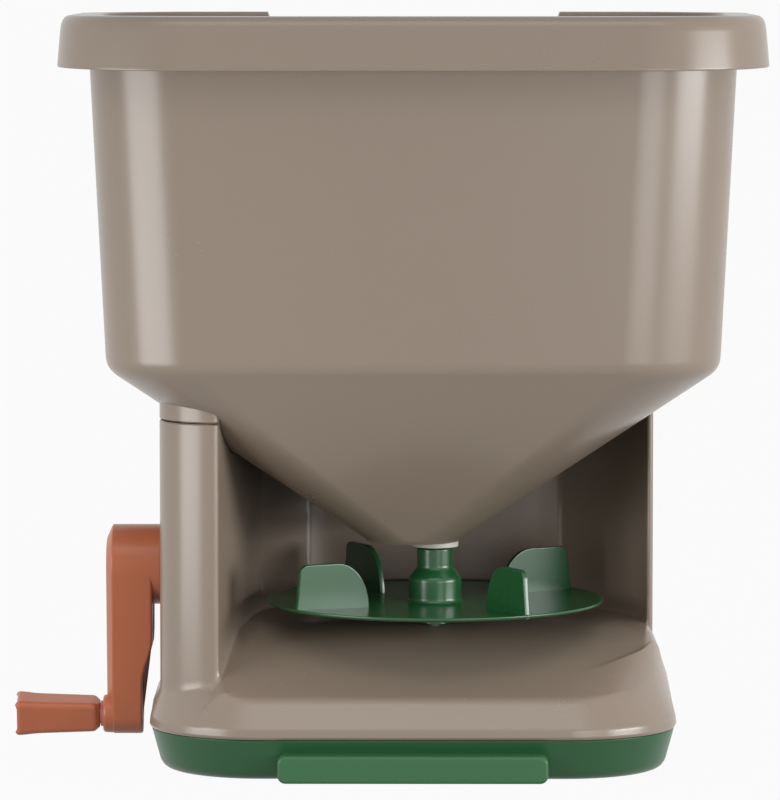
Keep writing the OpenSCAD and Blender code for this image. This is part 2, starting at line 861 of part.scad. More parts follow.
// Bearings and their bracket
module bearing_bracket() {
    foot_z = 2 * base_floor;
    hole_x = bracket_x - bracket_foot / 2;
    color(dark_plastic) difference() {
        union() {
            translate([bracket_x, drive_y - bracket_half, foot_z])
                cube([bracket_t, 2 * bracket_half, lay_z - foot_z]);
            x_bar(bracket_x, bracket_x + bracket_t, bracket_half * 0.75, drive_y, lay_z);
            translate([bracket_x - bracket_foot, drive_y - bracket_half, foot_z])
                cube([bracket_foot + bracket_t, 2 * bracket_half, base_floor]);
        }
        x_bar(bracket_x - cut, bracket_x + bracket_t + cut,
            lay_shaft_r + bush_wall + pin_fit, drive_y, lay_z);
        for (side = [-1, 1])
            z_bar(foot_z - cut, foot_z + base_floor + cut, screw_r + screw_fit,
                hole_x, drive_y + side * bracket_screw_y);
    }
}

module crank_bush_outer() {
    color(white_plastic) translate([wall_out_x, crank_y, crank_z]) rotate([0, 90, 0])
        flanged_bush(crank_shaft_r, boss_in_x - wall_out_x,
            crank_shaft_r + bush_wall + crank_flange, flange_t);
}

module crank_bush_inner() {
    color(white_plastic) translate([inner_boss_x, crank_y, crank_z]) rotate([0, 90, 0])
        flanged_bush(crank_shaft_r, inner_bush_len, crank_shaft_r + bush_wall + inner_flange, thin_flange_t);
}

module lay_bush_left() {
    color(white_plastic) translate([boss_in_x, drive_y, lay_z]) rotate([0, -90, 0])
        flanged_bush(lay_shaft_r, lay_bush_len, lay_shaft_r + bush_wall + lay_flange, thin_flange_t);
}

module lay_bush_right() {
    color(white_plastic) translate([bracket_x, drive_y, lay_z]) rotate([0, 90, 0])
        flanged_bush(lay_shaft_r, bracket_t + cut, lay_shaft_r + bush_wall + lay_flange, thin_flange_t);
}

module spinner_bush_upper() {
    color(pale) translate([rotor_x, drive_y, outlet_z])
        flanged_bush(spinner_shaft_r, bush_top_z - outlet_z, collar_flange_r, collar_flange_t);
}

module spinner_bush_lower() {
    color(pale) translate([rotor_x, drive_y, spinner_boss_z]) mirror([0, 0, 1])
        flanged_bush(spinner_shaft_r, spinner_boss_z - spinner_bush_low_z,
            spinner_shaft_r + bush_wall + low_flange, low_flange_t);
}

// Rear handle, drawn in Y and Z
module handle_outline(bar, foot_in) {
    low = handle_top_z - bar / 2;
    high = handle_top_z + bar / 2;
    polygon([
        [hopper_back_y(low) + seat_gap + foot_in, low],
        [bar_y, low],
        [bar_y, high],
        [hopper_back_y(high) + seat_gap + foot_in, high]
    ]);
    translate([half_d + seat_gap + foot_in, handle_low_z - bar / 2])
        square([bar_y - half_d - seat_gap - foot_in, bar]);
    translate([bar_y - bar / 2, handle_low_z]) square([bar, handle_top_z - handle_low_z]);
    for (z = [handle_low_z, handle_top_z]) translate([bar_y, z]) circle(bar / 2);
}

module handle_half(side) {
    half = handle_w / 2;
    deep = half - handle_wall;
    bore_r = screw_r + (side < 0 ? screw_fit : pin_fit);
    difference() {
        along_x(side < 0 ? -half : 0, half) handle_outline(handle_bar, 0);
        difference() {
            along_x(side < 0 ? -deep : -cut, deep + cut)
                handle_outline(handle_bar - 2 * handle_wall, handle_foot);
            for (z = handle_posts_z) x_bar(-half, half, handle_post_r, bar_y, z);
        }
        for (z = handle_posts_z) {
            x_bar(-half - cut, handle_w / 4 + cut, bore_r, bar_y, z);
            if (side < 0) x_bar(-half - cut, -half + handle_head_deep, screw_head_r + head_fit, bar_y, z);
        }
        y_bar(half_d - cut, half_d + screw_bite + cut, screw_r + pin_fit, side * handle_w / 4, handle_low_z);
        y_bar(hopper_back_y(handle_top_z) - 2 * cut, hopper_back_y(handle_top_z) + screw_bite + cut,
            screw_r + pin_fit, side * handle_w / 4, handle_top_z);
    }
}

module handle_left() {
    color(taupe) handle_half(-1);
}

module handle_right() {
    color(taupe) handle_half(1);
}

// Fasteners
module handle_screws() {
    color(steel) for (z = handle_posts_z)
        translate([-handle_w / 2 + handle_head_deep, bar_y, z]) rotate([0, 90, 0])
            screw(handle_w * 3 / 4 - handle_head_deep);
}

module handle_foot_screws() {
    // The head's lower edge seats on the sloping wall first
    seat_y = hopper_back_y(handle_top_z - screw_head_r) - hopper_wall - seat_gap;
    color(steel) for (side = [-1, 1]) {
        translate([side * handle_w / 4, bay_back_y, handle_low_z]) rotate([-90, 0, 0])
            screw(housing_wall + screw_bite);
        translate([side * handle_w / 4, seat_y, handle_top_z]) rotate([-90, 0, 0])
            screw(hopper_wall + screw_bite);
    }
}

module base_screws() {
    color(steel) for (p = posts)
        translate([p[0], p[1], base_head_z]) screw(base_seam_z - base_head_z + screw_bite);
}

module bracket_screws() {
    color(steel) for (side = [-1, 1])
        translate([bracket_x - bracket_foot / 2, drive_y + side * bracket_screw_y, 3 * base_floor])
            rotate([180, 0, 0]) screw(2.5 * base_floor - seat_gap);
}

module hopper_screws() {
    color(steel) for (x = lug_xs)
        translate([x, half_d, lug_screw_z]) rotate([90, 0, 0]) screw(housing_wall + lug_t - cut);
}

// Crank
module arm_outline() {
    // Straight sides that run just inside the hub's circle and the end's circle
    side_in = 0.3;
    polygon([
        [crank_y - arm_hub_r + side_in, crank_z],
        [crank_y + arm_hub_r - side_in, crank_z],
        [crank_y + arm_end_r - side_in, grip_z],
        [crank_y - arm_end_r + side_in, grip_z]
    ]);
    translate([crank_y, crank_z]) circle(arm_hub_r);
    translate([crank_y, grip_z]) circle(arm_end_r);
}

module crank_arm() {
    shaft_seat_x = crank_shaft_out_x;
    color(terracotta) difference() {
        union() {
            along_x(arm_out_x, arm_t) arm_outline();
            x_bar(arm_face_x - cut, arm_in_x, arm_hub_r - hub_boss_in, crank_y, crank_z);
            x_bar(arm_out_x - end_boss, arm_out_x + cut, end_boss_r, crank_y, grip_z);
            x_bar(grip_in_x + part_gap, arm_out_x, grip_pin_r + neck_wall, crank_y, grip_z);
        }
        translate([0, arm_hub_r + cut, 0]) rotate([90, 0, 0]) linear_extrude(2 * arm_hub_r + 2 * cut)
            polygon([
                [arm_face_x + cut, arm_step_z + cut],
                [arm_face_x - arm_step * 0.15, arm_step_z - arm_step_run * 0.25],
                [arm_face_x - arm_step * 0.85, arm_step_z - arm_step_run * 0.75],
                [arm_face_x - arm_step, arm_step_z - arm_step_run],
                [arm_face_x - arm_step, -cut],
                [arm_face_x + cut, -cut]
            ]);
        translate([0, crank_y, crank_z]) rotate([90, 0, 90]) translate([0, 0, shaft_seat_x])
            linear_extrude(arm_in_x + cut - shaft_seat_x) d_outline(crank_shaft_r + pin_fit, flat_depth);
        x_bar(arm_out_x - cut, shaft_seat_x + cut, crank_screw_r + screw_fit, crank_y, crank_z);
        x_bar(arm_out_x - cut, arm_out_x + crank_recess, crank_head_r + part_gap, crank_y, crank_z);
        x_bar(grip_in_x, arm_out_x + grip_pin_deep, grip_pin_r + pin_fit, crank_y, grip_z);
    }
}

module crank_shaft() {
    flat_z = crank_z + crank_shaft_r - flat_depth;
    color(steel) difference() {
        x_bar(crank_shaft_out_x + seat_gap, crank_shaft_in_x, crank_shaft_r, crank_y, crank_z);
        for (span = [[crank_shaft_out_x, arm_in_x + washer_t / 2], [gear_x - part_gap, gear_x + gear_w]])
            translate([span[0], crank_y - crank_shaft_r, flat_z])
                cube([span[1] - span[0], 2 * crank_shaft_r, crank_shaft_r]);
        x_bar(crank_shaft_out_x - cut, crank_shaft_out_x + crank_screw_bite,
            crank_screw_r + pin_fit, crank_y, crank_z);
    }
}

module crank_gear() {
    web = 2.5;
    rim_r = spur_module * crank_teeth / 2 - 4 * spur_module;
    boss_r = crank_shaft_r + gear_boss;
    color(white_plastic) translate([gear_x, crank_y, crank_z]) rotate([90, 0, 90]) difference() {
        linear_extrude(gear_w) difference() {
            rotate([0, 0, mesh_angle]) spur_outline(crank_teeth, spur_module);
            d_outline(crank_shaft_r + pin_fit, flat_depth);
        }
        for (z = [-cut, gear_w - web]) translate([0, 0, z]) linear_extrude(web + cut) difference() {
            circle(rim_r);
            circle(boss_r);
        }
    }
}

module crank_screw() {
    color(steel) translate([arm_out_x + crank_recess, crank_y, crank_z]) rotate([0, 90, 0])
        screw(crank_web + crank_screw_bite - cut, crank_screw_r, crank_head_r, crank_head_t);
}

module crank_washer() {
    color(steel) difference() {
        x_bar(wall_out_x - flange_t - washer_t, wall_out_x - flange_t - eps,
            crank_shaft_r + bush_wall + washer_out, crank_y, crank_z);
        x_bar(wall_out_x - 2 * flange_t - washer_t, wall_out_x, crank_shaft_r + run_fit, crank_y, crank_z);
    }
}

// A ring that sits on a shaft
module clip_ring(shaft_r) {
    difference() {
        cylinder(h = clip_t, r = shaft_r + clip_wall);
        translate([0, 0, -cut]) cylinder(h = clip_t + 2 * cut, r = shaft_r + pin_fit);
    }
}

module crank_clip() {
    color(steel) translate([boss_in_x + arm_gap, crank_y, crank_z]) rotate([0, 90, 0])
        clip_ring(crank_shaft_r);
}

module grip_pin() {
    color(steel) union() {
        x_bar(grip_out_x + grip_recess, arm_out_x + grip_pin_deep - seat_gap, grip_pin_r, crank_y, grip_z);
        x_bar(grip_out_x + grip_recess - grip_head_t, grip_out_x + grip_recess, grip_head_r, crank_y, grip_z);
    }
}

// A ring of the grip: a rounded square of a side, some way from its outer end
function grip_ring(side, from_end) =
    ring(side / 2, side / 2, min(grip_round, side / 2 - 1), 0, from_end);

module crank_grip() {
    small = grip_side * grip_small;
    color(terracotta) translate([grip_out_x, crank_y, grip_z]) rotate([grip_turn, 0, 0]) rotate([0, 90, 0])
        difference() {
            loft([
                grip_ring(grip_side - grip_end_in, 0),
                grip_ring(grip_side, grip_edge),
                grip_ring(grip_side, grip_lobe),
                grip_ring(grip_side - grip_waist_in, grip_waist),
                grip_ring(small, grip_len - grip_tail),
                grip_ring(small - grip_tail_in, grip_len)
            ]);
            translate([0, 0, -cut]) cylinder(h = grip_len + 2 * cut, r = grip_pin_r + run_fit);
            translate([0, 0, -cut]) cylinder(h = grip_recess + arm_gap + cut, r = grip_head_r + part_gap);
        }
}

// Lay shaft
module lay_shaft() {
    color(steel) x_bar(-half_w + cut, lay_end_x, lay_shaft_r, drive_y, lay_z);
}

module lay_pinion() {
    color(white_plastic) translate([gear_x - cut / 2, drive_y, lay_z]) rotate([90, 0, 90])
        linear_extrude(pinion_w) difference() {
            rotate([0, 0, mesh_angle + 180 + 180 / pinion_teeth]) spur_outline(pinion_teeth, spur_module);
            circle(lay_shaft_r + pin_fit);
        }
}

module lay_bevel() {
    color(white_plastic) translate([rotor_x, drive_y, lay_z]) rotate([0, -90, 0])
        bevel_gear(lay_bevel_teeth, bevel_module, spinner_bevel_r, lay_shaft_r,
            lay_shaft_r + bevel_hub_wall, bevel_hub_len);
}

// Spinner
module spinner_shaft() {
    stub_z = lay_z + lay_bevel_r * 0.65;
    step_z = lay_z + lay_bevel_r + bevel_back + seat_gap;
    color(steel) difference() {
        union() {
            z_bar(stub_z, step_z + cut, stub_r, rotor_x, drive_y);
            z_bar(step_z, spinner_top_z, spinner_shaft_r, rotor_x, drive_y);
        }
        x_bar(rotor_x - hub_low_r, rotor_x + hub_low_r, rotor_pin_r + pin_fit, drive_y, rotor_pin_z);
    }
}

module spinner_bevel() {
    color(white_plastic) translate([rotor_x, drive_y, lay_z])
        rotate([0, 0, 180 + 180 / spinner_bevel_teeth]) difference() {
            bevel_gear(spinner_bevel_teeth, bevel_module, lay_bevel_r, stub_r, stub_r + stub_step, eps);
            translate([0, 0, lay_bevel_r + bevel_back]) cylinder(h = 2 * cut, r = 2 * spinner_bevel_r);
        }
}

// One fin, drawn in radius and height
module fin_outline() {
    low = disc_z + 2 * seat_gap;
    out = rotor_r - rotor_lip;
    polygon(concat(
        [for (a = [180:-15:90])
            [fin_in_r + fin_curve * (1 + cos(a)), low + (fin_top_z - low) * sin(a)]],
        [for (a = [90:-15:0])
            [out - fin_taper + fin_corner * (cos(a) - 1), fin_top_z + fin_corner * (sin(a) - 1)]],
        [[out, low]]
    ));
}

module rotor() {
    mid_r = (fin_in_r + rotor_r) / 2;
    bore_r = spinner_shaft_r + pin_fit;
    color(rotor_green) translate([rotor_x, drive_y, 0]) difference() {
        union() {
            rotate_extrude($fn = 128) polygon([
                [bore_r, rotor_base_z],
                [sleeve_bore, rotor_base_z],
                [sleeve_bore, sleeve_z],
                [sleeve_bore + sleeve_wall, sleeve_z],
                [hub_low_r, disc_z - disc_t],
                [rotor_r - rotor_lip, rotor_rim_z - disc_t],
                [rotor_r, rotor_rim_z - disc_t / 2],
                [rotor_r, rotor_rim_z],
                [rotor_r - rotor_lip, rotor_rim_z],
                [hub_low_r, disc_z],
                [hub_low_r, hub_shoulder_z],
                [hub_top_r, hub_step_z],
                [hub_top_r, hub_top_z],
                [bore_r, hub_top_z]
            ]);
            for (k = [0:fin_count - 1]) rotate([0, 0, fin_first + k * 360 / fin_count])
                translate([mid_r, 0, 0]) rotate([0, 0, -fin_sweep]) translate([-mid_r, fin_t / 2, 0])
                    rotate([90, 0, 0]) linear_extrude(fin_t) fin_outline();
        }
        x_bar(-hub_low_r - cut, hub_low_r + cut, rotor_pin_r + pin_fit, 0, rotor_pin_z);
    }
}

module rotor_pin() {
    color(steel) x_bar(rotor_x - hub_low_r + seat_gap, rotor_x + hub_low_r - seat_gap,
        rotor_pin_r, drive_y, rotor_pin_z);
}

module spinner_clip() {
    color(steel) translate([rotor_x, drive_y, bush_top_z + arm_gap]) clip_ring(spinner_shaft_r);
}

module agitator() {
    color(white_plastic) translate([rotor_x, drive_y, agitator_z]) difference() {
        union() {
            cylinder(h = agitator_h, r = agitator_r);
            x_bar(0, agitator_reach, agitator_wire, 0, agitator_h / 2);
        }
        translate([0, 0, -cut]) cylinder(h = agitator_h + 2 * cut, r = spinner_shaft_r + pin_fit);
    }
}

// Flow gate
module gate_plate() {
    color(white_plastic) difference() {
        translate([drop_x - gate_w / 2, gate_front_y, gate_z])
            cube([gate_w, gate_back_y - gate_front_y, gate_t]);
        z_bar(gate_z - cut, gate_z + gate_t + cut, gate_rivet_r + pin_fit, drop_x, rivet_y);
    }
}

module gate_knob() {
    color(terracotta) difference() {
        translate([drop_x - knob_w / 2, knob_y, gate_mid_z - knob_h / 2]) cube([knob_w, knob_d, knob_h]);
        translate([drop_x - gate_w / 2 - seat_gap, knob_y - cut, gate_z - seat_gap])
            cube([gate_w + 2 * seat_gap, gate_back_y - knob_y + cut + seat_gap, gate_t + 2 * seat_gap]);
        z_bar(gate_mid_z - knob_h, gate_mid_z + knob_h, gate_rivet_r + pin_fit, drop_x, rivet_y);
    }
}

module gate_rivet() {
    color(steel) z_bar(gate_mid_z - knob_h / 2 + seat_gap, gate_mid_z + knob_h / 2 - seat_gap,
        gate_rivet_r, drop_x, rivet_y);
}

hopper();
housing();
base_cover();
front_foot();
bearing_bracket();
crank_bush_outer();
crank_bush_inner();
lay_bush_left();
lay_bush_right();
spinner_bush_upper();
spinner_bush_lower();
handle_left();
handle_right();
handle_screws();
handle_foot_screws();
base_screws();
bracket_screws();
hopper_screws();
crank_arm();
crank_shaft();
crank_gear();
crank_screw();
crank_washer();
crank_clip();
grip_pin();
crank_grip();
lay_shaft();
lay_pinion();
lay_bevel();
spinner_shaft();
spinner_bevel();
rotor();
rotor_pin();
spinner_clip();
agitator();
gate_plate();
gate_knob();
gate_rivet();
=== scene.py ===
import math

import bmesh
import bpy
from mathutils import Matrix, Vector
from mathutils.kdtree import KDTree


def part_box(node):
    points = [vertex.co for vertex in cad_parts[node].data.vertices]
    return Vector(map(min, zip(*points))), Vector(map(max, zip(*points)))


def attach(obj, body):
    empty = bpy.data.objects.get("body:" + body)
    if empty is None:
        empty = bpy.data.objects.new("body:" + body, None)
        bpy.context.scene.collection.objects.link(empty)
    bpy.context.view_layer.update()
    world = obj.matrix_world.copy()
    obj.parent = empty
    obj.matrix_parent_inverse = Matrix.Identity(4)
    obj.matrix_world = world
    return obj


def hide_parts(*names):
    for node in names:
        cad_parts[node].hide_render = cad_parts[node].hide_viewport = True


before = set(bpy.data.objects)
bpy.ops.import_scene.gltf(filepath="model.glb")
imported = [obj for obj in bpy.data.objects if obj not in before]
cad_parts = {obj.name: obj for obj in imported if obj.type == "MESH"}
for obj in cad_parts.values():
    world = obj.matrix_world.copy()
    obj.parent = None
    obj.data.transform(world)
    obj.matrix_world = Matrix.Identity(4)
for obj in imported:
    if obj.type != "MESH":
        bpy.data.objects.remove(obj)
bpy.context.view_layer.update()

# Sizes below are in millimetres and turned into metres as a mesh is made
MM = 0.001
CORNER_STEPS = 14
ROUND_STEPS = 5

# Hopper: half width, half depth, corner radius, middle along Y, height
OUTLET_LOW = (18.3, 18.3, 16.8, -10.0, 87.3)
OUTLET = (19.5, 19.5, 18.0, -10.0, 88.5)
SHOULDER_LOW = (118.6, 72.5, 37.5, 0.0, 156.75)
SHOULDER = (121.1, 75.0, 40.0, 0.0, 160.5)
HOPPER_TOP = (127.5, 81.0, 40.0, 0.0, 292.0)
HOPPER_WALL = 2.5
RIM_TOP_Z = 298.0
RIM_LOW_Z = 277.2
RIM_OUT = 12.0
RIM_WALL = 2.5
RIM_FLARE = 1.8
RIM_REAR_DROP = 2.8
FLOOR_EDGE = (17.0, 17.0, 15.5, -10.0, 95.0)
FLOOR_MIDDLE = (2.0, 2.0, 1.0, -10.0, 95.0)
NOTCH_HALF, NOTCH_DEEP, NOTCH_END = 62.0, 6.0, 3.0
COLLAR_SINK, COLLAR_WALL = 1.2, 0.8

# Housing
ROTOR_X, DRIVE_Y = 8.7, -10.0
HOUSING_HALF_W, HOUSING_HALF_D = 100.0, 63.0
HOUSING_CORNER = 43.0
HOUSING_WALL = 2.5
BAY_R = 85.0
BAY_BACK_Y = HOUSING_HALF_D - HOUSING_WALL
RIGHT_EDGE_Y = -3.0
COLLAR_Z = 138.0
SEAM_GAP = 0.35
PLATFORM_Z, PLATFORM_SLOPE = 43.8, 9.6
DECK_Z, DECK_BEND = 53.4, 4.0
RAMP_FOOT, RAMP_SLOPE = (-73.6, 31.4), 23.0
SKIRT_HALF_W, SKIRT_HALF_D = 104.3, 73.0
SKIRT_Y = -7.0
SKIRT_CORNER = 45.0
SEAM_Z = 16.5

# Crank
CRANK_Z, GRIP_Z = 76.4, 16.0
ARM_OUT_X, ARM_IN_X = -122.7, -104.2
ARM_HUB_R, ARM_END_R = 16.0, 8.0
ARM_STEP, ARM_STEP_Z, ARM_STEP_RUN = 4.2, 47.4, 18.0


def deselect():
    """Leaves object mode with nothing selected."""
    if bpy.context.object and bpy.context.object.mode != "OBJECT":
        bpy.ops.object.mode_set(mode="OBJECT")
    bpy.ops.object.select_all(action="DESELECT")


def only(piece):
    """Makes a piece the one that operators act on."""
    deselect()
    piece.select_set(True)
    bpy.context.view_layer.objects.active = piece


def set_loop(piece, before, after):
    """Moves the selected loop of a mesh in edit mode from one outline to the next."""
    tree = KDTree(len(before))
    for number, point in enumerate(before):
        tree.insert(Vector(point) * MM, number)
    tree.balance()
    mesh = bmesh.from_edit_mesh(piece.data)
    for vert in mesh.verts:
        if vert.select:
            vert.co = Vector(after[tree.find(vert.co)[1]]) * MM
    bmesh.update_edit_mesh(piece.data)


def loft(name, rings):
    """Extrudes an outline from ring to ring and closes both ends."""
    deselect()
    count = len(rings[0])
    bpy.ops.mesh.primitive_circle_add(vertices=count, radius=1)
    piece = bpy.context.object
    piece.name = name
    for vert, point in zip(piece.data.vertices, rings[0]):
        vert.co = Vector(point) * MM
    bpy.ops.object.mode_set(mode="EDIT")
    bpy.ops.mesh.select_all(action="SELECT")
    bpy.ops.mesh.edge_face_add()
    bpy.ops.mesh.select_mode(type="EDGE")
    bpy.ops.mesh.select_all(action="SELECT")
    for before, after in zip(rings, rings[1:]):
        bpy.ops.mesh.extrude_edges_move()
        set_loop(piece, before, after)
    bpy.ops.mesh.edge_face_add()
    bpy.ops.mesh.select_mode(type="VERT")
    bpy.ops.mesh.select_all(action="SELECT")
    bpy.ops.mesh.remove_doubles(threshold=0.000005)
    bpy.ops.mesh.normals_make_consistent(inside=False)
    bpy.ops.object.mode_set(mode="OBJECT")
    return piece


def apply_modifier(piece, kind, settings):
    """Adds a modifier with its settings and applies it."""
    only(piece)
    modifier = piece.modifiers.new(kind.lower(), kind)
    for name, value in settings.items():
        setattr(modifier, name, value)
    bpy.ops.object.modifier_apply(modifier=modifier.name)


def soften_edges(piece, width, segments=3, angle=35):
    """Rounds the edges that are sharper than an angle."""
    apply_modifier(piece, "BEVEL", {
        "width": width * MM,
        "segments": segments,
        "limit_method": "ANGLE",
        "angle_limit": math.radians(angle),
        "use_clamp_overlap": True,
    })


def cut_away(piece, cutter):
    """Takes one mesh out of another."""
    apply_modifier(piece, "BOOLEAN", {"object": cutter, "operation": "DIFFERENCE", "solver": "EXACT"})
    bpy.data.objects.remove(cutter)


def join(pieces):
    """Makes one mesh of several; the first one keeps its name."""
    deselect()
    for piece in pieces:
        piece.select_set(True)
    bpy.context.view_layer.objects.active = pieces[0]
    bpy.ops.object.join()
    return pieces[0]


def smooth(piece, angle=40):
    """Shades a mesh smooth, with flat faces kept flat."""
    only(piece)
    bpy.ops.object.shade_smooth_by_angle(angle=math.radians(angle))
    apply_modifier(piece, "WEIGHTED_NORMAL", {"mode": "FACE_AREA", "weight": 50, "keep_sharp": True})


def finish_piece(piece, body, nodes, material):
    """Gives a finished mesh its finish and its place in the object."""
    smooth(piece)
    piece.data.materials.clear()
    piece.data.materials.append(material)
    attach(piece, body)
    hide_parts(*nodes)
    return piece


# Outlines
def mixed(first, second, share):
    """A point between two others."""
    return tuple(a + (b - a) * share for a, b in zip(first, second))


def arc(centre, radius, start, end, steps):
    """Points along a round stretch, with angles in degrees."""
    angles = [math.radians(start + (end - start) * i / steps) for i in range(steps + 1)]
    return [(centre[0] + radius * math.cos(a), centre[1] + radius * math.sin(a)) for a in angles]


def rounded_box(half_w, half_d, radius, middle_y=0.0):
    """A rectangle with round corners, anticlockwise from the right."""
    points = []
    for turn, (sx, sy) in enumerate(((1, 1), (-1, 1), (-1, -1), (1, -1))):
        centre = (sx * (half_w - radius), middle_y + sy * (half_d - radius))
        points += arc(centre, radius, turn * 90, turn * 90 + 90, CORNER_STEPS)
    return points


def at_height(points, z):
    return [(x, y, z) for x, y in points]


def box_ring(half_w, half_d, radius, middle_y, z):
    return at_height(rounded_box(half_w, half_d, radius, middle_y), z)


def softened(stations):
    """A profile through stations, each a point and the setback by which its corner is rounded."""
    profile, rounds = zip(*stations)
    made = [profile[0]]
    for before, corner, after, setback in zip(profile, profile[1:], profile[2:], rounds[1:]):
        if setback == 0:
            made.append(corner)
            continue
        start = mixed(corner, before, min(0.48, setback / math.dist(corner, before)))
        end = mixed(corner, after, min(0.48, setback / math.dist(corner, after)))
        for i in range(ROUND_STEPS + 1):
            share = i / ROUND_STEPS
            made.append(mixed(mixed(start, corner, share), mixed(corner, end, share), share))
    return made + [profile[-1]]


def grown(outline, amount):
    """An outline moved outwards, square to its edges; it runs anticlockwise."""
    made = []
    for before, point, after in zip(outline[-1:] + outline[:-1], outline, outline[1:] + outline[:1]):
        ends = [before, point, after]
        turns = [(Vector(b) - Vector(a)).normalized() for a, b in zip(ends, ends[1:])]
        sides = [Vector((t.y, -t.x)) for t in turns]
        middle = (sides[0] + sides[1]).normalized()
        reach = amount / max(0.4, middle.dot(sides[0]))
        made.append((point[0] + middle.x * reach, point[1] + middle.y * reach))
    return made


# Finishes
class Wire:
    """A shader value that can be used in Python expressions."""

    def __init__(self, finish, socket):
        self.finish = finish
        self.socket = socket

    def combine(self, operation, first, second):
        return self.finish.node("ShaderNodeMath", {"operation": operation}, {0: first, 1: second})

    def __add__(self, other):
        return self.combine("ADD", self, other)

    __radd__ = __add__

    def __mul__(self, other):
        return self.combine("MULTIPLY", self, other)

    __rmul__ = __mul__

    def __sub__(self, other):
        return self.combine("SUBTRACT", self, other)

    def __rsub__(self, other):
        return self.combine("SUBTRACT", other, self)


class Finish:
    """A material, or a world, that is built node by node."""

    def __init__(self, name, world=None):
        self.material = world or bpy.data.materials.new(name)
        self.material.use_nodes = True
        self.tree = self.material.node_tree
        self.shader = self.tree.nodes.get("Principled BSDF")

    def node(self, kind, settings=None, inputs=None, output=0):
        """Adds a node, with its settings first and then its inputs, as values or wires."""
        made = self.tree.nodes.new(kind)
        for name, value in (settings or {}).items():
            setattr(made, name, value)
        self.fill(made, inputs or {})
        return Wire(self, made.outputs[output])

    def fill(self, made, inputs):
        for name, value in inputs.items():
            if isinstance(value, Wire):
                self.tree.links.new(value.socket, made.inputs[name])
            else:
                made.inputs[name].default_value = value

    def place(self):
        return self.node("ShaderNodeTexCoord", output="Object")

    def noise(self, scale, detail=2.0, roughness=0.5):
        """A noise over the piece, from 0 to 1, with its scale in waves per metre."""
        return self.node("ShaderNodeTexNoise", None, {
            "Vector": self.place(), "Scale": scale, "Detail": detail, "Roughness": roughness})

    def mix(self, share, first, second):
        """A colour between two others."""
        return self.node("ShaderNodeMix", {"data_type": "RGBA"}, {
            "Factor": share, 6: first, 7: second}, output=2)


def linear(red, green, blue):
    """A colour as it looks on a screen, turned into the renderer's own values."""
    parts = [c / 255 for c in (red, green, blue)]
    turned = [c / 12.92 if c <= 0.04045 else ((c + 0.055) / 1.055) ** 2.4 for c in parts]
    return (*turned, 1.0)


def moulded_plastic(name, colour, shade, rough, gloss=0.5, grain=0.06, worn=0.5):
    """Injection moulded plastic: a fine satin grain, faint flow clouds and a soft uneven gloss."""
    finish = Finish(name)
    clouds = finish.noise(18.0, 4.0, 0.55)
    specks = finish.noise(900.0, 2.0, 0.6)
    pores = finish.noise(2600.0, 1.0, 0.5)
    tone = clouds * worn + specks * (1 - worn)
    finish.fill(finish.shader, {
        "Base Color": finish.mix(tone, colour, shade),
        "Roughness": clouds * 0.015 + specks * 0.01 + (rough - 0.0125),
        "Normal": finish.node("ShaderNodeBump", None, {
            "Strength": grain, "Distance": 0.0004, "Height": pores + specks * 0.6}),
        "Specular IOR Level": gloss,
    })
    return finish.material


def bright_metal(name, colour, rough):
    """Plated steel with fine drawing marks and dull patches."""
    finish = Finish(name)
    patches = finish.noise(220.0, 3.0, 0.6)
    marks = finish.noise(3200.0, 1.0, 0.5)
    finish.fill(finish.shader, {
        "Base Color": finish.mix(patches, colour, linear(150, 150, 148)),
        "Metallic": 1.0,
        "Roughness": patches * 0.18 + (rough - 0.09),
        "Normal": finish.node("ShaderNodeBump", None, {
            "Strength": 0.08, "Distance": 0.0002, "Height": marks}),
    })
    return finish.material


TAUPE = moulded_plastic("taupe_plastic", linear(143, 128, 114), linear(138, 123, 109), 0.27, 0.58, 0.004)
BASE_GREEN = moulded_plastic("base_green", linear(36, 85, 49), linear(32, 78, 44), 0.36, 0.4, 0.01)
# The foot's green is the base's green made lighter: painted light, standing in for the light that the
# foot's front face catches.
FOOT_GREEN_PAINTED_LIGHT = moulded_plastic("foot_green", linear(54, 103, 66), linear(49, 96, 60), 0.42, 0.4, 0.01)
ROTOR_GREEN = moulded_plastic("rotor_green", linear(28, 86, 46), linear(24, 78, 40), 0.26, 0.6, 0.01)
TERRACOTTA = moulded_plastic(
    "terracotta_plastic", linear(182, 102, 67), linear(173, 94, 60), 0.34, 0.5, 0.01)
PALE = moulded_plastic("pale_plastic", linear(205, 199, 190), linear(192, 186, 177), 0.45)
WHITE = moulded_plastic("white_plastic", linear(226, 224, 217), linear(215, 212, 204), 0.42)
DARK = moulded_plastic("dark_plastic", linear(62, 62, 62), linear(54, 54, 54), 0.48)
STEEL = bright_metal("zinc_steel", linear(176, 178, 182), 0.36)
SLOT_FINISH = {
    "taupe_plastic": TAUPE, "base_green": BASE_GREEN, "foot_green": FOOT_GREEN_PAINTED_LIGHT,
    "rotor_green": ROTOR_GREEN, "terracotta_plastic": TERRACOTTA, "pale_plastic": PALE,
    "white_plastic": WHITE, "dark_plastic": DARK, "zinc_steel": STEEL,
}


def dress_nodes():
    """Gives each node of the frame the finish of its material slot."""
    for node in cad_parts.values():
        for slot in node.material_slots:
            name = slot.material.name.split(".")[0] if slot.material else ""
            if name in SLOT_FINISH:
                slot.material = SLOT_FINISH[name]


# Camera, light and floor
CAMERA_PLACE = (0.004, -2.516, 0.366)
CAMERA_AIM = (-0.0093, 0.0, 0.1424)
FRAME_HEIGHT = 0.320
SENSOR = 36.0
SKY_LEVEL = 0.5
LIT_MIDDLE = (0.0, 0.0, 0.16)
WHITE_LIGHT = (1.0, 1.0, 1.0, 1.0)


def look(thing, target):
    """Turns a lamp or the camera towards a point."""
    thing.rotation_euler = (Vector(target) - thing.location).to_track_quat("-Z", "Y").to_euler()


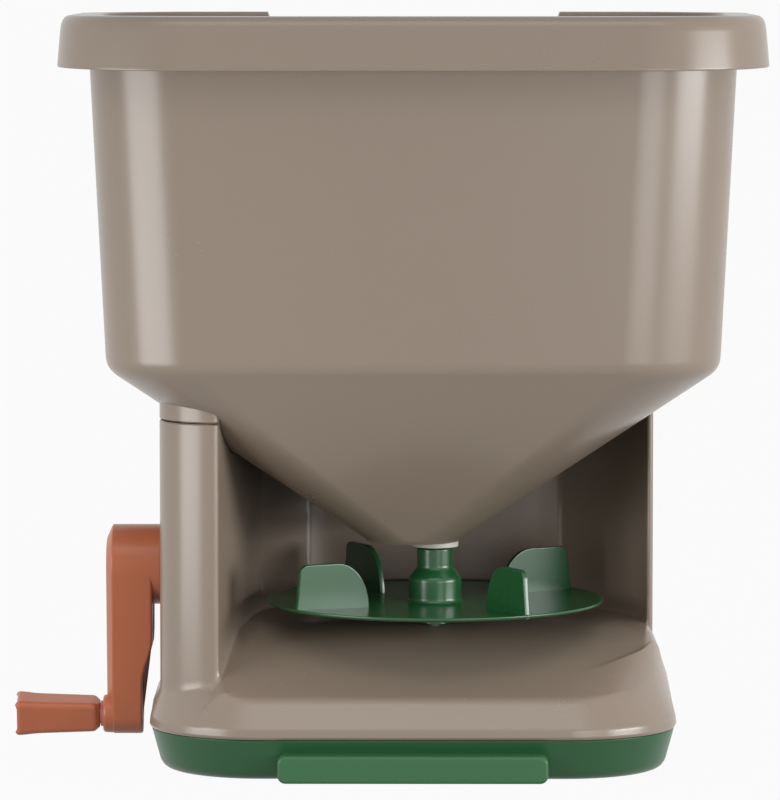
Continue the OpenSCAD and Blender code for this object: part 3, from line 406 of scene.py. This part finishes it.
def make_camera():
    data = bpy.data.cameras.new("camera")
    camera = bpy.data.objects.new("camera", data)
    bpy.context.scene.collection.objects.link(camera)
    camera.location = CAMERA_PLACE
    look(camera, CAMERA_AIM)
    reach = (Vector(CAMERA_AIM) - camera.location).length
    data.sensor_width = SENSOR
    data.lens = SENSOR * reach / FRAME_HEIGHT
    data.clip_end = 100.0
    bpy.context.scene.camera = camera


def soft_box(name, place, width, height, power):
    """A rectangular lamp that faces the middle of the object."""
    data = bpy.data.lights.new(name, "AREA")
    data.shape = "RECTANGLE"
    data.size, data.size_y, data.energy = width, height, power
    lamp = bpy.data.objects.new(name, data)
    bpy.context.scene.collection.objects.link(lamp)
    lamp.location = place
    look(lamp, LIT_MIDDLE)


def seen_rays(finish):
    """1 for what the camera sees, straight on or in gloss and glass."""
    kinds = [finish.node("ShaderNodeLightPath", output=name)
             for name in ("Is Camera Ray", "Is Glossy Ray", "Is Transmission Ray")]
    return kinds[0] + kinds[1] + kinds[2]


def make_floor():
    """A pale floor that looks white and keeps a faint shadow."""
    deselect()
    bpy.ops.mesh.primitive_plane_add(size=40.0, location=(0.0, 0.0, 0.0))
    floor = bpy.context.object
    floor.name = "floor"
    finish = Finish("floor_white")
    finish.fill(finish.shader, {"Base Color": (0.15, 0.15, 0.15, 1.0), "Roughness": 0.9,
                                "Specular IOR Level": 0.1})
    glow = finish.node("ShaderNodeEmission", None, {"Color": WHITE_LIGHT, "Strength": 1.0})
    surface = finish.node("ShaderNodeMixShader", None, {
        0: seen_rays(finish) * 0.95, 1: Wire(finish, finish.shader.outputs[0]), 2: glow})
    finish.fill(finish.tree.nodes["Material Output"], {"Surface": surface})
    floor.data.materials.append(finish.material)


def make_world():
    """White where the camera sees it, a plain grey light elsewhere."""
    world = bpy.data.worlds.new("studio")
    world.use_nodes = True
    bpy.context.scene.world = world
    finish = Finish("studio", world)
    sky = finish.mix(seen_rays(finish), (*[SKY_LEVEL] * 3, 1.0), WHITE_LIGHT)
    finish.fill(finish.tree.nodes["Background"], {"Color": sky})


def beside(turn, reach, z):
    """A place at an angle right of the front, a distance from the object's axis and a height."""
    turn = math.radians(turn)
    return (reach * math.sin(turn), -reach * math.cos(turn), z)


def make_lights():
    """Low boxes for the shine on the round corners, a far panel for the bay and a box overhead."""
    soft_box("left_box", beside(-58, 0.60, 0.125), 0.38, 0.25, 1.65)
    soft_box("right_box", beside(25, 0.75, 0.15), 0.30, 0.22, 0.8)
    soft_box("right_panel", beside(66, 1.50, 0.23), 0.9, 0.30, 14.0)
    soft_box("top_box", beside(0, 1.00, 1.25), 1.2, 0.4, 2.6)


# Hopper
def hopper_station(by, z):
    """The hopper's outside at its top, grown by an amount."""
    half_w, half_d, corner, middle, _ = HOPPER_TOP
    return (half_w + by, half_d + by, corner + by, middle, z)


def hopper_stations():
    """Stations from the outlet up the outside, over the rim and down the inside, with setbacks."""
    flange = RIM_OUT - RIM_FLARE - RIM_WALL
    inner_low = (*[size - HOPPER_WALL for size in SHOULDER[:3]], 0.0, SHOULDER[4] + HOPPER_WALL / 2)
    return [
        (OUTLET_LOW, 0), (OUTLET, 1.0), (SHOULDER_LOW, 3.0), (SHOULDER, 3.0), (HOPPER_TOP, 2.0),
        (hopper_station(flange, HOPPER_TOP[4]), 2.0),
        (hopper_station(RIM_OUT - RIM_WALL, RIM_LOW_Z), 0.8),
        (hopper_station(RIM_OUT, RIM_LOW_Z), 1.0),
        (hopper_station(RIM_OUT - RIM_FLARE, RIM_TOP_Z), 6.0),
        (hopper_station(-HOPPER_WALL, RIM_TOP_Z), 2.4),
        (hopper_station(-HOPPER_WALL, HOPPER_TOP[4]), 2.0),
        (inner_low, 3.0), (FLOOR_EDGE, 2.0), (FLOOR_MIDDLE, 0),
    ]


def tilted(ring):
    """A ring of the hopper with the rear of the rim a little lower than its front."""
    made = []
    for x, y, z in ring:
        share = max(0.0, min(1.0, (z - RIM_LOW_Z) / (RIM_TOP_Z - RIM_LOW_Z)))
        back = max(0.0, min(1.0, 0.5 + y / (2 * HOPPER_TOP[1])))
        made.append((x, y, z - RIM_REAR_DROP * share * back))
    return made


def cut_notch(hopper):
    """The shallow notch in the rear rim, with sloping ends."""
    low = RIM_TOP_Z - NOTCH_DEEP
    high = low + 10.0
    floor_half = NOTCH_HALF - NOTCH_END
    profile = [(-floor_half, low), (floor_half, low), (NOTCH_HALF, high), (-NOTCH_HALF, high)]
    rings = [[(x, y, z) for x, z in profile] for y in (60.0, 110.0)]
    cut_away(hopper, loft("notch", rings))


def make_collar():
    """The shell under the funnel that sits on the housing's wall, with a fine seam between them.

    Its rings go up the outside from the seam, sink into the funnel's wall and come down again inside.
    """
    plan = [point for points in wall_stretches().values() for point in points][::-1]
    sunk = None
    steps = ((0.6, 0.0), (0.0, 0.6), (0.0, sunk), (COLLAR_WALL, sunk), (COLLAR_WALL, 0.1))
    rings = []
    for inset, rise in steps:
        ring = []
        for (x, y), place in zip(grown(plan, -inset), plan):
            under = funnel_at(*place)
            low = min(COLLAR_Z + SEAM_GAP, under - 0.2)
            ring.append((x, y, under + COLLAR_SINK if rise is sunk else min(low + rise, under + 1.0)))
        rings.append(ring)
    return loft("collar", rings)


def make_hopper():
    profile = softened(hopper_stations())
    hopper = loft("hopper_shell", [tilted(box_ring(*station)) for station in profile])
    cut_notch(hopper)
    hopper = join([hopper, make_collar()])
    finish_piece(hopper, "casing", ["hopper"], TAUPE)


# Housing
def platform_at(y):
    return PLATFORM_Z + y * math.tan(math.radians(PLATFORM_SLOPE))


def deck_at(y):
    """Height of the ramp and the level deck behind it, with a soft bend between them."""
    ramp = RAMP_FOOT[1] + (y - RAMP_FOOT[0]) * math.tan(math.radians(RAMP_SLOPE))
    blend = max(0.0, min(1.0, 0.5 + (DECK_Z - ramp) / (2 * DECK_BEND)))
    return DECK_Z + (ramp - DECK_Z) * blend - DECK_BEND * blend * (1 - blend)


def funnel_at(x, y):
    """Height of the funnel's underside above a place."""
    low, high = 0.0, 1.0
    for _ in range(30):
        share = (low + high) / 2
        half_w, half_d, corner, middle, _ = mixed(OUTLET, SHOULDER_LOW, share)
        dx = max(0.0, abs(x) - (half_w - corner))
        dy = max(0.0, abs(y - middle) - (half_d - corner))
        inside = math.hypot(dx, dy) <= corner
        low, high = (low, share) if inside else (share, high)
    return mixed(OUTLET, SHOULDER_LOW, high)[4]


PILLAR_EDGE = (-75.8, -58.7)
PILLAR_LEAN = 0.137
PILLAR_EDGE_R = 2.4
TIP_ANGLE = math.degrees(math.asin((RIGHT_EDGE_Y - DRIVE_Y) / BAY_R))
PILLAR_R = 24.0
PILLAR_CENTRE = (-HOUSING_HALF_W + PILLAR_R, PILLAR_EDGE[1] + PILLAR_R - 1.6)
BACK_CENTRE = (-HOUSING_HALF_W + HOUSING_CORNER, HOUSING_HALF_D - HOUSING_CORNER)
BAY_CENTRE = (ROTOR_X, DRIVE_Y)


def bay_angle(radius, y):
    return math.degrees(math.asin((y - DRIVE_Y) / radius))


def straight(start, end, steps):
    """Points inside a straight stretch, without its ends."""
    return [mixed(start, end, i / steps) for i in range(1, steps)]


def fold_point():
    """Where the pillar's inner wall meets the round wall of the bay."""
    angle = 120.0
    while True:
        x, y = arc(BAY_CENTRE, BAY_R, angle, angle, 1)[0]
        if x <= PILLAR_EDGE[0] + (y - PILLAR_EDGE[1]) * PILLAR_LEAN:
            return angle, (x, y)
        angle += 0.25


def wall_stretches():
    """The wall's plan, clockwise from the pillar's front edge, as named stretches."""
    outer_r = BAY_R + HOUSING_WALL
    back_angle = bay_angle(outer_r, HOUSING_HALF_D)
    inner_angle = bay_angle(BAY_R, BAY_BACK_Y)
    fold_angle, fold = fold_point()
    tip = arc(BAY_CENTRE, BAY_R + HOUSING_WALL / 2, TIP_ANGLE, TIP_ANGLE, 1)[0]
    lean = math.degrees(math.atan(PILLAR_LEAN))
    edge_side = (math.cos(math.radians(lean)), -math.sin(math.radians(lean)))
    edge_centre = (PILLAR_EDGE[0] - PILLAR_EDGE_R * 1.05, PILLAR_EDGE[1] + PILLAR_EDGE_R - 1.5)
    edge_start = (edge_centre[0] + PILLAR_EDGE_R * edge_side[0],
                  edge_centre[1] + PILLAR_EDGE_R * edge_side[1])
    front = arc(PILLAR_CENTRE, PILLAR_R, 262, 180, 18)
    back_left = arc(BACK_CENTRE, HOUSING_CORNER, 180, 90, 16)
    right = arc(BAY_CENTRE, outer_r, back_angle - 1, TIP_ANGLE, 18)
    inner_right = arc(BAY_CENTRE, BAY_R, TIP_ANGLE, inner_angle - 2, 18)
    inner_left = arc(BAY_CENTRE, BAY_R, 180 - inner_angle + 2, fold_angle - 2.5, 8)
    return {
        "front": front,
        "left": straight(front[-1], back_left[0], 6),
        "back_left": back_left,
        "back": straight(back_left[-1], right[0], 10),
        "right": right,
        "tip": arc(tip, HOUSING_WALL / 2, TIP_ANGLE, TIP_ANGLE - 180, 8)[1:-1],
        "inner_right": inner_right,
        "inner_back": straight(inner_right[-1], inner_left[0], 12),
        "inner_left": inner_left,
        "pillar": [mixed(inner_left[-1], fold, 0.6)]
        + straight(mixed(fold, edge_start, 0.03), edge_start, 14) + [edge_start],
        "edge": arc(edge_centre, PILLAR_EDGE_R, -lean, -98, 7)[1:-1],
    }


def skirt_outline(by):
    return rounded_box(SKIRT_HALF_W + by, SKIRT_HALF_D + by, SKIRT_CORNER + by, SKIRT_Y)


def skirt_place(turn, side=None):
    """A place on the skirt: an angle on a corner, or a share of the way along a straight side."""
    half_w, half_d = SKIRT_HALF_W - SKIRT_CORNER, SKIRT_HALF_D - SKIRT_CORNER
    if side is None:
        quarter = int(turn // 90) % 4
        sx, sy = ((1, 1), (-1, 1), (-1, -1), (1, -1))[quarter]
        return arc((sx * half_w, SKIRT_Y + sy * half_d), SKIRT_CORNER, turn, turn, 1)[0]
    ends = {"left": ((-SKIRT_HALF_W, SKIRT_Y - half_d), (-SKIRT_HALF_W, SKIRT_Y + half_d)),
            "back": ((-half_w, SKIRT_Y + SKIRT_HALF_D), (half_w, SKIRT_Y + SKIRT_HALF_D)),
            "right": ((SKIRT_HALF_W, SKIRT_Y + half_d), (SKIRT_HALF_W, SKIRT_Y - half_d)),
            "front": ((half_w, SKIRT_Y - SKIRT_HALF_D), (-half_w, SKIRT_Y - SKIRT_HALF_D))}[side]
    return mixed(*ends, turn)


def spread(first, last, count):
    """Evenly spaced numbers, both ends included."""
    return [first + (last - first) * i / max(1, count - 1) for i in range(count)]


def skirt_places(stretches):
    """For each point of the wall's plan, the place on the skirt that it runs out to."""
    count = {name: len(points) for name, points in stretches.items()}
    right = [skirt_place(a) for a in spread(84, 4, count["right"] - 4)]
    right += [skirt_place(s, "right") for s in spread(0.1, 0.55, 4)]
    inner_back = [skirt_place(s, "front") for s in spread(0.08, 0.8, count["inner_back"])]
    return {
        "front": [skirt_place(a) for a in spread(238, 182, count["front"])],
        "left": [skirt_place(s, "left") for s in spread(0.15, 0.85, count["left"])],
        "back_left": [skirt_place(a) for a in spread(178, 92, count["back_left"])],
        "back": [skirt_place(s, "back") for s in spread(0.05, 0.95, count["back"])],
        "right": right,
        "tip": [skirt_place(s, "right") for s in spread(0.7, 0.95, 2)]
        + [skirt_place(a) for a in spread(358, 322, count["tip"] - 2)],
        "inner_right": [skirt_place(a) for a in spread(319, 272, count["inner_right"])],
        "inner_back": inner_back,
        "inner_left": [skirt_place(s, "front") for s in spread(0.84, 0.96, count["inner_left"])],
        "pillar": [skirt_place(a) for a in spread(269.5, 252, count["pillar"])],
        "edge": [skirt_place(a) for a in spread(250, 240, count["edge"])],
    }


# Where the skirt's face starts, above the lip, and how it meets the walls
LIP_Z, LIP_IN = 20.4, 0.3
LIP_ROUND, EDGE_ROUND, SIDE_ROUND = 0.9, 2.4, 9.0
EDGE_IN = 7.4
FOOT_Z = {"front": 34.2, "left": 31.5, "back": 44.0, "right": 46.5}
FOOT_ROUND = {"front": 3.2, "left": 2.4, "back_left": 2.4, "back": 2.4, "right": 2.0, "tip": 2.6,
              "inner_right": 2.6, "inner_back": 3.2, "inner_left": 5.0, "pillar": 8.0, "edge": 6.0}
RIDGE_RISE = 0.9
FACING = ("tip", "inner_right", "inner_back", "inner_left", "pillar", "edge")


def eased(share):
    """A share from 0 to 1 that starts and ends softly."""
    share = max(0.0, min(1.0, share))
    return share * share * (3 - 2 * share)


def foot_height(name, share, y):
    """Height at which the skirt or the platform meets the wall."""
    level = deck_at(y)
    if name in ("left", "back"):
        return FOOT_Z[name]
    if name == "edge":
        return level + (FOOT_Z["front"] - level) * eased(share)
    if name == "front":
        return FOOT_Z["front"] + (FOOT_Z["left"] - FOOT_Z["front"]) * eased(share * 1.4)
    if name == "back_left":
        return FOOT_Z["left"] + (FOOT_Z["back"] - FOOT_Z["left"]) * eased(share)
    if name == "right":
        return FOOT_Z["back"] + (FOOT_Z["right"] - FOOT_Z["back"]) * eased(share * 3)
    if name == "tip":
        return FOOT_Z["right"] + (level - FOOT_Z["right"]) * eased(share * 1.8 - 0.7)
    return level


def flatness(name, share):
    """How far the skirt's face turns into a flat platform: 1 in front of the bay, 0 beside the walls."""
    if name == "front":
        return 0.25 * (1 - eased(share * 2.2))
    if name == "edge":
        return 1.0 - 0.75 * eased(share)
    if name == "tip":
        return 0.15 + 0.85 * eased(share * 1.2)
    return 1.0 if name in FACING else 0.0


def crest_share(name, share):
    """How far from the skirt's edge to the wall the ramp's right end has its ridge."""
    if name == "tip":
        return 0.36
    return 0.15 + 0.21 * (1 - share) ** 2 if name == "inner_right" else 0.15


def ridge_rise(name, share):
    """Height of the ridge's bead above the ramp."""
    if name == "tip":
        return RIDGE_RISE * eased(share * 1.5)
    return RIDGE_RISE * (1 - eased(share * 1.8 - 0.6)) if name == "inner_right" else 0.0


def housing_column(name, share, wall, side, skirt):
    """Points at one place, from the seam up the lip and skirt, over ramp and deck and up the wall."""
    out = Vector(wall) - Vector(skirt)
    corner = (max(SKIRT_CORNER - SKIRT_HALF_W, min(SKIRT_HALF_W - SKIRT_CORNER, skirt[0])),
              max(SKIRT_Y - SKIRT_HALF_D + SKIRT_CORNER,
                  min(SKIRT_Y + SKIRT_HALF_D - SKIRT_CORNER, skirt[1])))
    inward = (Vector(corner) - Vector(skirt)).normalized()
    base = foot_height(name, share, wall[1])
    foot = (*wall, base)
    lip = (*(Vector(skirt) + inward * LIP_IN), LIP_Z)
    level = Vector(skirt) + inward * EDGE_IN
    shelf = (*level, platform_at(level.y))
    inset, rise = (0.30, 0.50) if name in ("right", "tip") else (0.19, 0.45)
    beside = (*(Vector(lip[:2]) + out * inset), LIP_Z + (base - LIP_Z) * rise)
    if name == "front":
        beside = mixed(lip, foot, 0.5)
    flat = flatness(name, share)
    edge = mixed(beside, shelf, flat)
    first = crest_share(name, share)
    blunt = EDGE_ROUND if name in FACING else SIDE_ROUND
    if name in ("edge", "tip"):
        blunt += (SIDE_ROUND - EDGE_ROUND) * eased(share if name == "edge" else 1 - share)
    rising = 1 - eased(share) if name == "edge" else flat if name in FACING else 0.0
    deck = []
    for part in (0.0, 0.05, 0.18, 0.36, 0.56):
        place = mixed(edge, foot, first + (1 - first) * part)
        deck.append((place[0], place[1], place[2] + (deck_at(place[1]) - place[2]) * rising))
    crest = (deck[0][0], deck[0][1], deck[0][2] + ridge_rise(name, share))
    top = min(COLLAR_Z, funnel_at(*wall) - 0.4)
    inner = Vector(wall) - Vector(side) * 0.5
    stations = [
        ((*(Vector(skirt) + inward * 0.6), SEAM_Z), 0), ((*skirt, SEAM_Z + 0.9), 0.4), (lip, LIP_ROUND),
        (edge, blunt), (mixed(edge, crest, 0.5), 0), (crest, 1.1),
    ]
    stations += [(place, 0) for place in deck[1:]] + [(foot, FOOT_ROUND[name])]
    stations += [((*wall, base + (top - base) * s), 0) for s in (0.25, 0.5, 0.75)]
    stations += [((*wall, top - 0.5), 0), ((*inner, top), 0)]
    return softened(stations)


def make_housing():
    stretches = wall_stretches()
    places = skirt_places(stretches)
    plan = [point for points in stretches.values() for point in points]
    nearby = grown(plan[::-1], 1.0)[::-1]
    sides = [(Vector(b) - Vector(a)).normalized() for a, b in zip(plan, nearby)]
    columns = []
    for name, points in stretches.items():
        for number, (wall, skirt) in enumerate(zip(points, places[name])):
            share = number / max(1, len(points) - 1)
            columns.append(housing_column(name, share, wall, sides[len(columns)], skirt))
    housing = loft("housing_shell", [list(ring) for ring in zip(*columns)])
    finish_piece(housing, "casing", ["housing"], TAUPE)


# Base
def make_base_cover():
    """A green tray with a round lower edge."""
    top = SEAM_Z - 0.2
    stations = [((-30.0, 0.0), 0), ((-5.2, 0.0), 4.6), ((-0.8, top), 0.7), ((-6.0, top), 0)]
    profile = softened(stations)
    tray = loft("base_tray", [at_height(skirt_outline(by), z) for by, z in profile])
    finish_piece(tray, "casing", ["base_cover"], BASE_GREEN)


def upright_ring(half_w, half_h, radius, middle_z, y):
    """A round-cornered rectangle that stands across the front view."""
    return [(x, y, z) for x, z in rounded_box(half_w, half_h, radius, middle_z)]


def make_front_foot():
    """The block on the front of the base, with soft edges all round."""
    half_w, height, face_y, back_y = 52.75, 11.0, -85.5, -73.5
    stations = [((30.0, face_y), 0), ((0.0, face_y), 1.6), ((0.0, back_y), 0.5), ((3.0, back_y), 0)]
    profile = softened(stations)
    rings = []
    for inset, y in profile:
        half_h = height / 2 - min(inset, height / 2 - 0.6)
        rings.append(upright_ring(half_w - inset, half_h, max(0.4, 3.2 - inset), height / 2, y))
    foot = loft("foot_block", rings)
    # The block takes the lighter green: painted light on its front face, over the base's own green.
    finish_piece(foot, "casing", ["front_foot"], FOOT_GREEN_PAINTED_LIGHT)


# Rotor
ROTOR_R, ROTOR_SIDES = 67.1, 96
FIN_COUNT, FIN_FIRST, FIN_SWEEP = 4, 35.0, 7.0
FIN_IN_R, FIN_TOP_Z, FIN_LOW_Z, FIN_T = 33.5, 81.0, 62.2, 2.2
FIN_CURVE, FIN_CORNER, FIN_TAPER = 14.0, 3.5, 1.8


def round_ring(radius, z):
    """A circle round the rotor's axis."""
    return at_height(arc(BAY_CENTRE, radius, 0, 360 - 360 / ROTOR_SIDES, ROTOR_SIDES - 1), z)


def make_fin(number):
    """One fin: a plate with a curved inner end and a round outer corner, its edges eased."""
    out = ROTOR_R - 1.2
    outline = [(out, FIN_LOW_Z)]
    outline += [(out - FIN_TAPER + FIN_CORNER * (x - 1), FIN_TOP_Z + FIN_CORNER * (y - 1))
                for x, y in arc((0, 0), 1, 0, 90, 6)]
    rise = FIN_TOP_Z - FIN_LOW_Z
    outline += [(FIN_IN_R + FIN_CURVE * (1 + x), FIN_LOW_Z + rise * y)
                for x, y in arc((0, 0), 1, 90, 180, 12)]
    turn = math.radians(FIN_FIRST + number * 360 / FIN_COUNT)
    lean = turn - math.radians(FIN_SWEEP)
    middle = (FIN_IN_R + ROTOR_R) / 2
    along = Vector((math.cos(lean), math.sin(lean)))
    across = Vector((-along.y, along.x))
    centre = Vector(BAY_CENTRE) + Vector((math.cos(turn), math.sin(turn))) * middle
    rings = []
    for inset, side in ((0.55, -1.0), (0.16, -0.86), (0.0, -0.55), (0.0, 0.55), (0.16, 0.86), (0.55, 1.0)):
        ring = []
        for radius, z in grown(outline, -inset):
            here = centre + along * (radius - middle) + across * side * FIN_T / 2
            ring.append((here.x, here.y, z))
        rings.append(ring)
    return loft(f"fin_{number}", rings)


def make_rotor():
    """A dished disc with a short spigot under it, a stepped hub and fins."""
    stations = [
        ((0.6, 53.7), 0), ((5.6, 53.7), 0.4), ((5.8, 58.6), 0.6), ((10.6, 60.8), 1.0),
        ((65.9, 62.2), 0.8), ((ROTOR_R, 63.0), 0.4), ((ROTOR_R, 63.9), 0.4), ((65.4, 63.9), 0.5),
        ((64.2, 63.4), 0.6), ((10.6, 62.4), 2.2),
        ((10.6, 72.3), 1.2), ((7.2, 76.3), 1.2), ((7.2, 84.3), 0.8), ((0.6, 84.3), 0),
    ]
    profile = softened(stations)
    disc = loft("rotor_disc", [round_ring(radius, z) for radius, z in profile])
    rotor = join([disc] + [make_fin(number) for number in range(FIN_COUNT)])
    finish_piece(rotor, "spinner", ["rotor"], ROTOR_GREEN)


# Crank
def x_ring(outline, x):
    """An outline in Y and Z, placed along X."""
    return [(x, y, z) for y, z in outline]


def x_disc(radius, x, z, count=48):
    return x_ring(arc((0.0, z), radius, 0, 360 - 360 / count, count - 1), x)


def arm_outline(inset):
    """The arm seen from its side: a large hub end and a small lower end."""
    reach = CRANK_Z - GRIP_Z
    lean = math.degrees(math.asin((ARM_HUB_R - ARM_END_R) / reach))
    hub = arc((0.0, CRANK_Z), ARM_HUB_R - inset, -lean, 180 + lean, 28)
    end = arc((0.0, GRIP_Z), max(0.3, ARM_END_R - inset), 180 + lean, 360 - lean, 16)
    sides = [straight(hub[-1], end[0], 14), straight(end[-1], hub[0], 14)]
    return hub + sides[0] + end + sides[1]


def arm_inner_x(z):
    """The arm's inner face, which steps out to clear the skirt."""
    return ARM_IN_X - ARM_STEP * eased((ARM_STEP_Z - z) / ARM_STEP_RUN)


def make_arm_body():
    """The arm's plate, with a wide chamfer on its outer face and a recess for the screw."""
    outer = ((7.6, 0.0), (6.0, 0.0), (5.4, 0.1), (4.8, 0.3), (0.5, 2.2), (0.12, 2.5), (0.0, 2.9))
    inner = ((0.0, 1.2), (0.12, 0.5), (0.4, 0.12), (0.9, 0.0), (5.0, 0.0), (7.6, 0.0))
    rings = [x_ring(arm_outline(inset), ARM_OUT_X + deep) for inset, deep in outer]
    for inset, short in inner:
        rings.append([(arm_inner_x(z) - short, y, z) for y, z in arm_outline(inset)])
    arm = loft("arm_body", rings)
    recess = [x_disc(4.2, ARM_OUT_X + deep, CRANK_Z) for deep in (-2.0, 3.4)]
    cut_away(arm, loft("recess", recess))
    return arm


def make_crank_arm():
    """The arm with the boss at its hub and the round end that carries the grip."""
    arm = make_arm_body()
    boss = [((1.0, -116.0), 0), ((16.02, -116.0), 0.01), ((16.02, -100.6), 0.6), ((9.4, -100.6), 0.4),
            ((9.4, -103.4), 0.3), ((1.0, -103.4), 0)]
    end = [((1.0, -118.0), 0), ((7.9, -118.0), 0), ((7.5, -124.4), 1.4), ((5.2, -124.4), 0.4),
           ((5.2, -125.4), 0.3), ((1.0, -125.4), 0)]
    turned = [loft(name, [x_disc(radius, x, z) for radius, x in softened(stations)])
              for name, stations, z in (("arm_boss", boss, CRANK_Z), ("arm_end", end, GRIP_Z))]
    arm = join([arm] + turned)
    finish_piece(arm, "crank", ["crank_arm"], TERRACOTTA)


GRIP_OUT_X = -160.2
GRIP_TURN = 14.0
GRIP_END_SIDE, GRIP_SCALLOP, GRIP_SCALLOP_REACH = 14.8, 1.9, 7.0


def grip_ring(side, corner, x):
    """A rounded square across the grip, turned about its axis, with a scalloped outer end."""
    turn = math.radians(GRIP_TURN)
    near_end = max(0.0, 1 - (x - GRIP_OUT_X) / GRIP_SCALLOP_REACH)
    ring = []
    for y, z in rounded_box(side / 2, side / 2, min(corner, side / 2 - 0.1)):
        from_corner = 1 - min(1.0, min(abs(y), abs(z)) / (0.40 * GRIP_END_SIDE))
        ring.append((x + GRIP_SCALLOP * near_end * math.sqrt(from_corner),
                     y * math.cos(turn) - z * math.sin(turn),
                     GRIP_Z + y * math.sin(turn) + z * math.cos(turn)))
    return ring


def make_crank_grip():
    """A square grip with a flared, dished outer end."""
    stations = [
        ((1.0, 0.4, 3.0), 0), ((9.4, 2.6, 2.6), 1.0), ((12.6, 2.4, 0.1), 0.6), ((14.8, 2.6, 1.4), 1.0),
        ((14.6, 2.6, 4.0), 2.0), ((13.6, 2.5, 9.0), 3.0), ((12.3, 2.4, 32.4), 1.2), ((9.2, 2.0, 34.5), 0.5),
        ((1.0, 0.4, 34.5), 0),
    ]
    profile = softened(stations)
    grip = loft("grip_body", [grip_ring(side, corner, GRIP_OUT_X + deep) for side, corner, deep in profile])
    finish_piece(grip, "grip", ["crank_grip"], TERRACOTTA)


# Rear handle
HANDLE_HALF_W = 14.0
HANDLE_TOP_Z, HANDLE_LOW_Z, HANDLE_BAR, HANDLE_Y = 236.0, 124.0, 25.0, 126.0


def hopper_back(z):
    return SHOULDER[1] + (HOPPER_TOP[1] - SHOULDER[1]) * (z - SHOULDER[4]) / (HOPPER_TOP[4] - SHOULDER[4])


def handle_outline():
    """The handle from its side: two arms and an upright bar, with round outer and inner corners."""
    half = HANDLE_BAR / 2
    inner_y, inner_r = HANDLE_Y - half, 7.0
    low_in, top_in = HANDLE_LOW_Z + half, HANDLE_TOP_Z - half
    feet = HOUSING_HALF_D + 0.1
    outline = [(feet, HANDLE_LOW_Z - half)]
    outline += arc((HANDLE_Y, HANDLE_LOW_Z), half, 270, 360, 12)
    outline += straight((HANDLE_Y + half, HANDLE_LOW_Z), (HANDLE_Y + half, HANDLE_TOP_Z), 5)
    outline += arc((HANDLE_Y, HANDLE_TOP_Z), half, 0, 90, 12)
    outline += [(hopper_back(HANDLE_TOP_Z + half) + 0.1, HANDLE_TOP_Z + half),
                (hopper_back(top_in) + 0.1, top_in)]
    outline += arc((inner_y - inner_r, top_in - inner_r), inner_r, 90, 0, 8)
    outline += arc((inner_y - inner_r, low_in + inner_r), inner_r, 0, -90, 8)
    outline += [(feet, low_in)]
    return outline


def make_handle_half(name, node, side):
    """One half of the handle, round towards its outside; the left one has the screws' recesses."""
    steps = ((0.5, 0.15), (0.0, 0.65), (0.0, 7.5), (0.5, 10.2), (1.7, 12.4), (3.6, 13.6),
             (6.0, HANDLE_HALF_W))
    half = loft(name, [x_ring(grown(handle_outline(), -inset), side * x) for inset, x in steps])
    if side < 0:
        for z in (HANDLE_LOW_Z, (HANDLE_LOW_Z + HANDLE_TOP_Z) / 2, HANDLE_TOP_Z):
            ends = [x_disc(3.7, place - HANDLE_HALF_W, z, 32) for place in (-2.0, 4.0)]
            cut_away(half, loft("hole", [[(x, HANDLE_Y + y, at) for x, y, at in end] for end in ends]))
    finish_piece(half, "casing", [node], TAUPE)


# Flow gate
def make_gate_knob():
    """The gate's knob: a soft block with finger grooves across its back."""
    low, high = (Vector(corner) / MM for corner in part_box("gate_knob"))
    middle, half = (low + high) / 2, (high - low) / 2
    stations = [((6.0, low.y), 0), ((0.6, low.y), 0.8), ((0.0, low.y + 2.0), 0.8), ((0.0, high.y), 2.2),
                ((7.0, high.y), 0)]
    profile = softened(stations)
    rings = []
    for inset, y in profile:
        ring = rounded_box(half.x - inset, half.z - inset, max(0.5, 2.6 - inset / 3), middle.z)
        rings.append([(middle.x + x, y, z) for x, z in ring])
    knob = loft("knob_body", rings)
    for step in (-4.0, 0.0, 4.0):
        groove = [(middle.x - 20, high.y + 0.4 + y, middle.z + step + z)
                  for y, z in arc((0.0, 0.0), 1.3, 0, 345, 23)]
        cut_away(knob, loft("groove", [groove, [(x + 40, y, z) for x, y, z in groove]]))
    soften_edges(knob, 0.25, 2, 40)
    finish_piece(knob, "gate", ["gate_knob"], TERRACOTTA)


dress_nodes()
make_hopper()
make_housing()
make_base_cover()
make_front_foot()
make_rotor()
make_crank_arm()
make_crank_grip()
make_handle_half("handle_shell_left", "handle_left", -1)
make_handle_half("handle_shell_right", "handle_right", 1)
make_gate_knob()
make_camera()
make_lights()
make_floor()
make_world()
bpy.context.scene.view_settings.view_transform = "Standard"
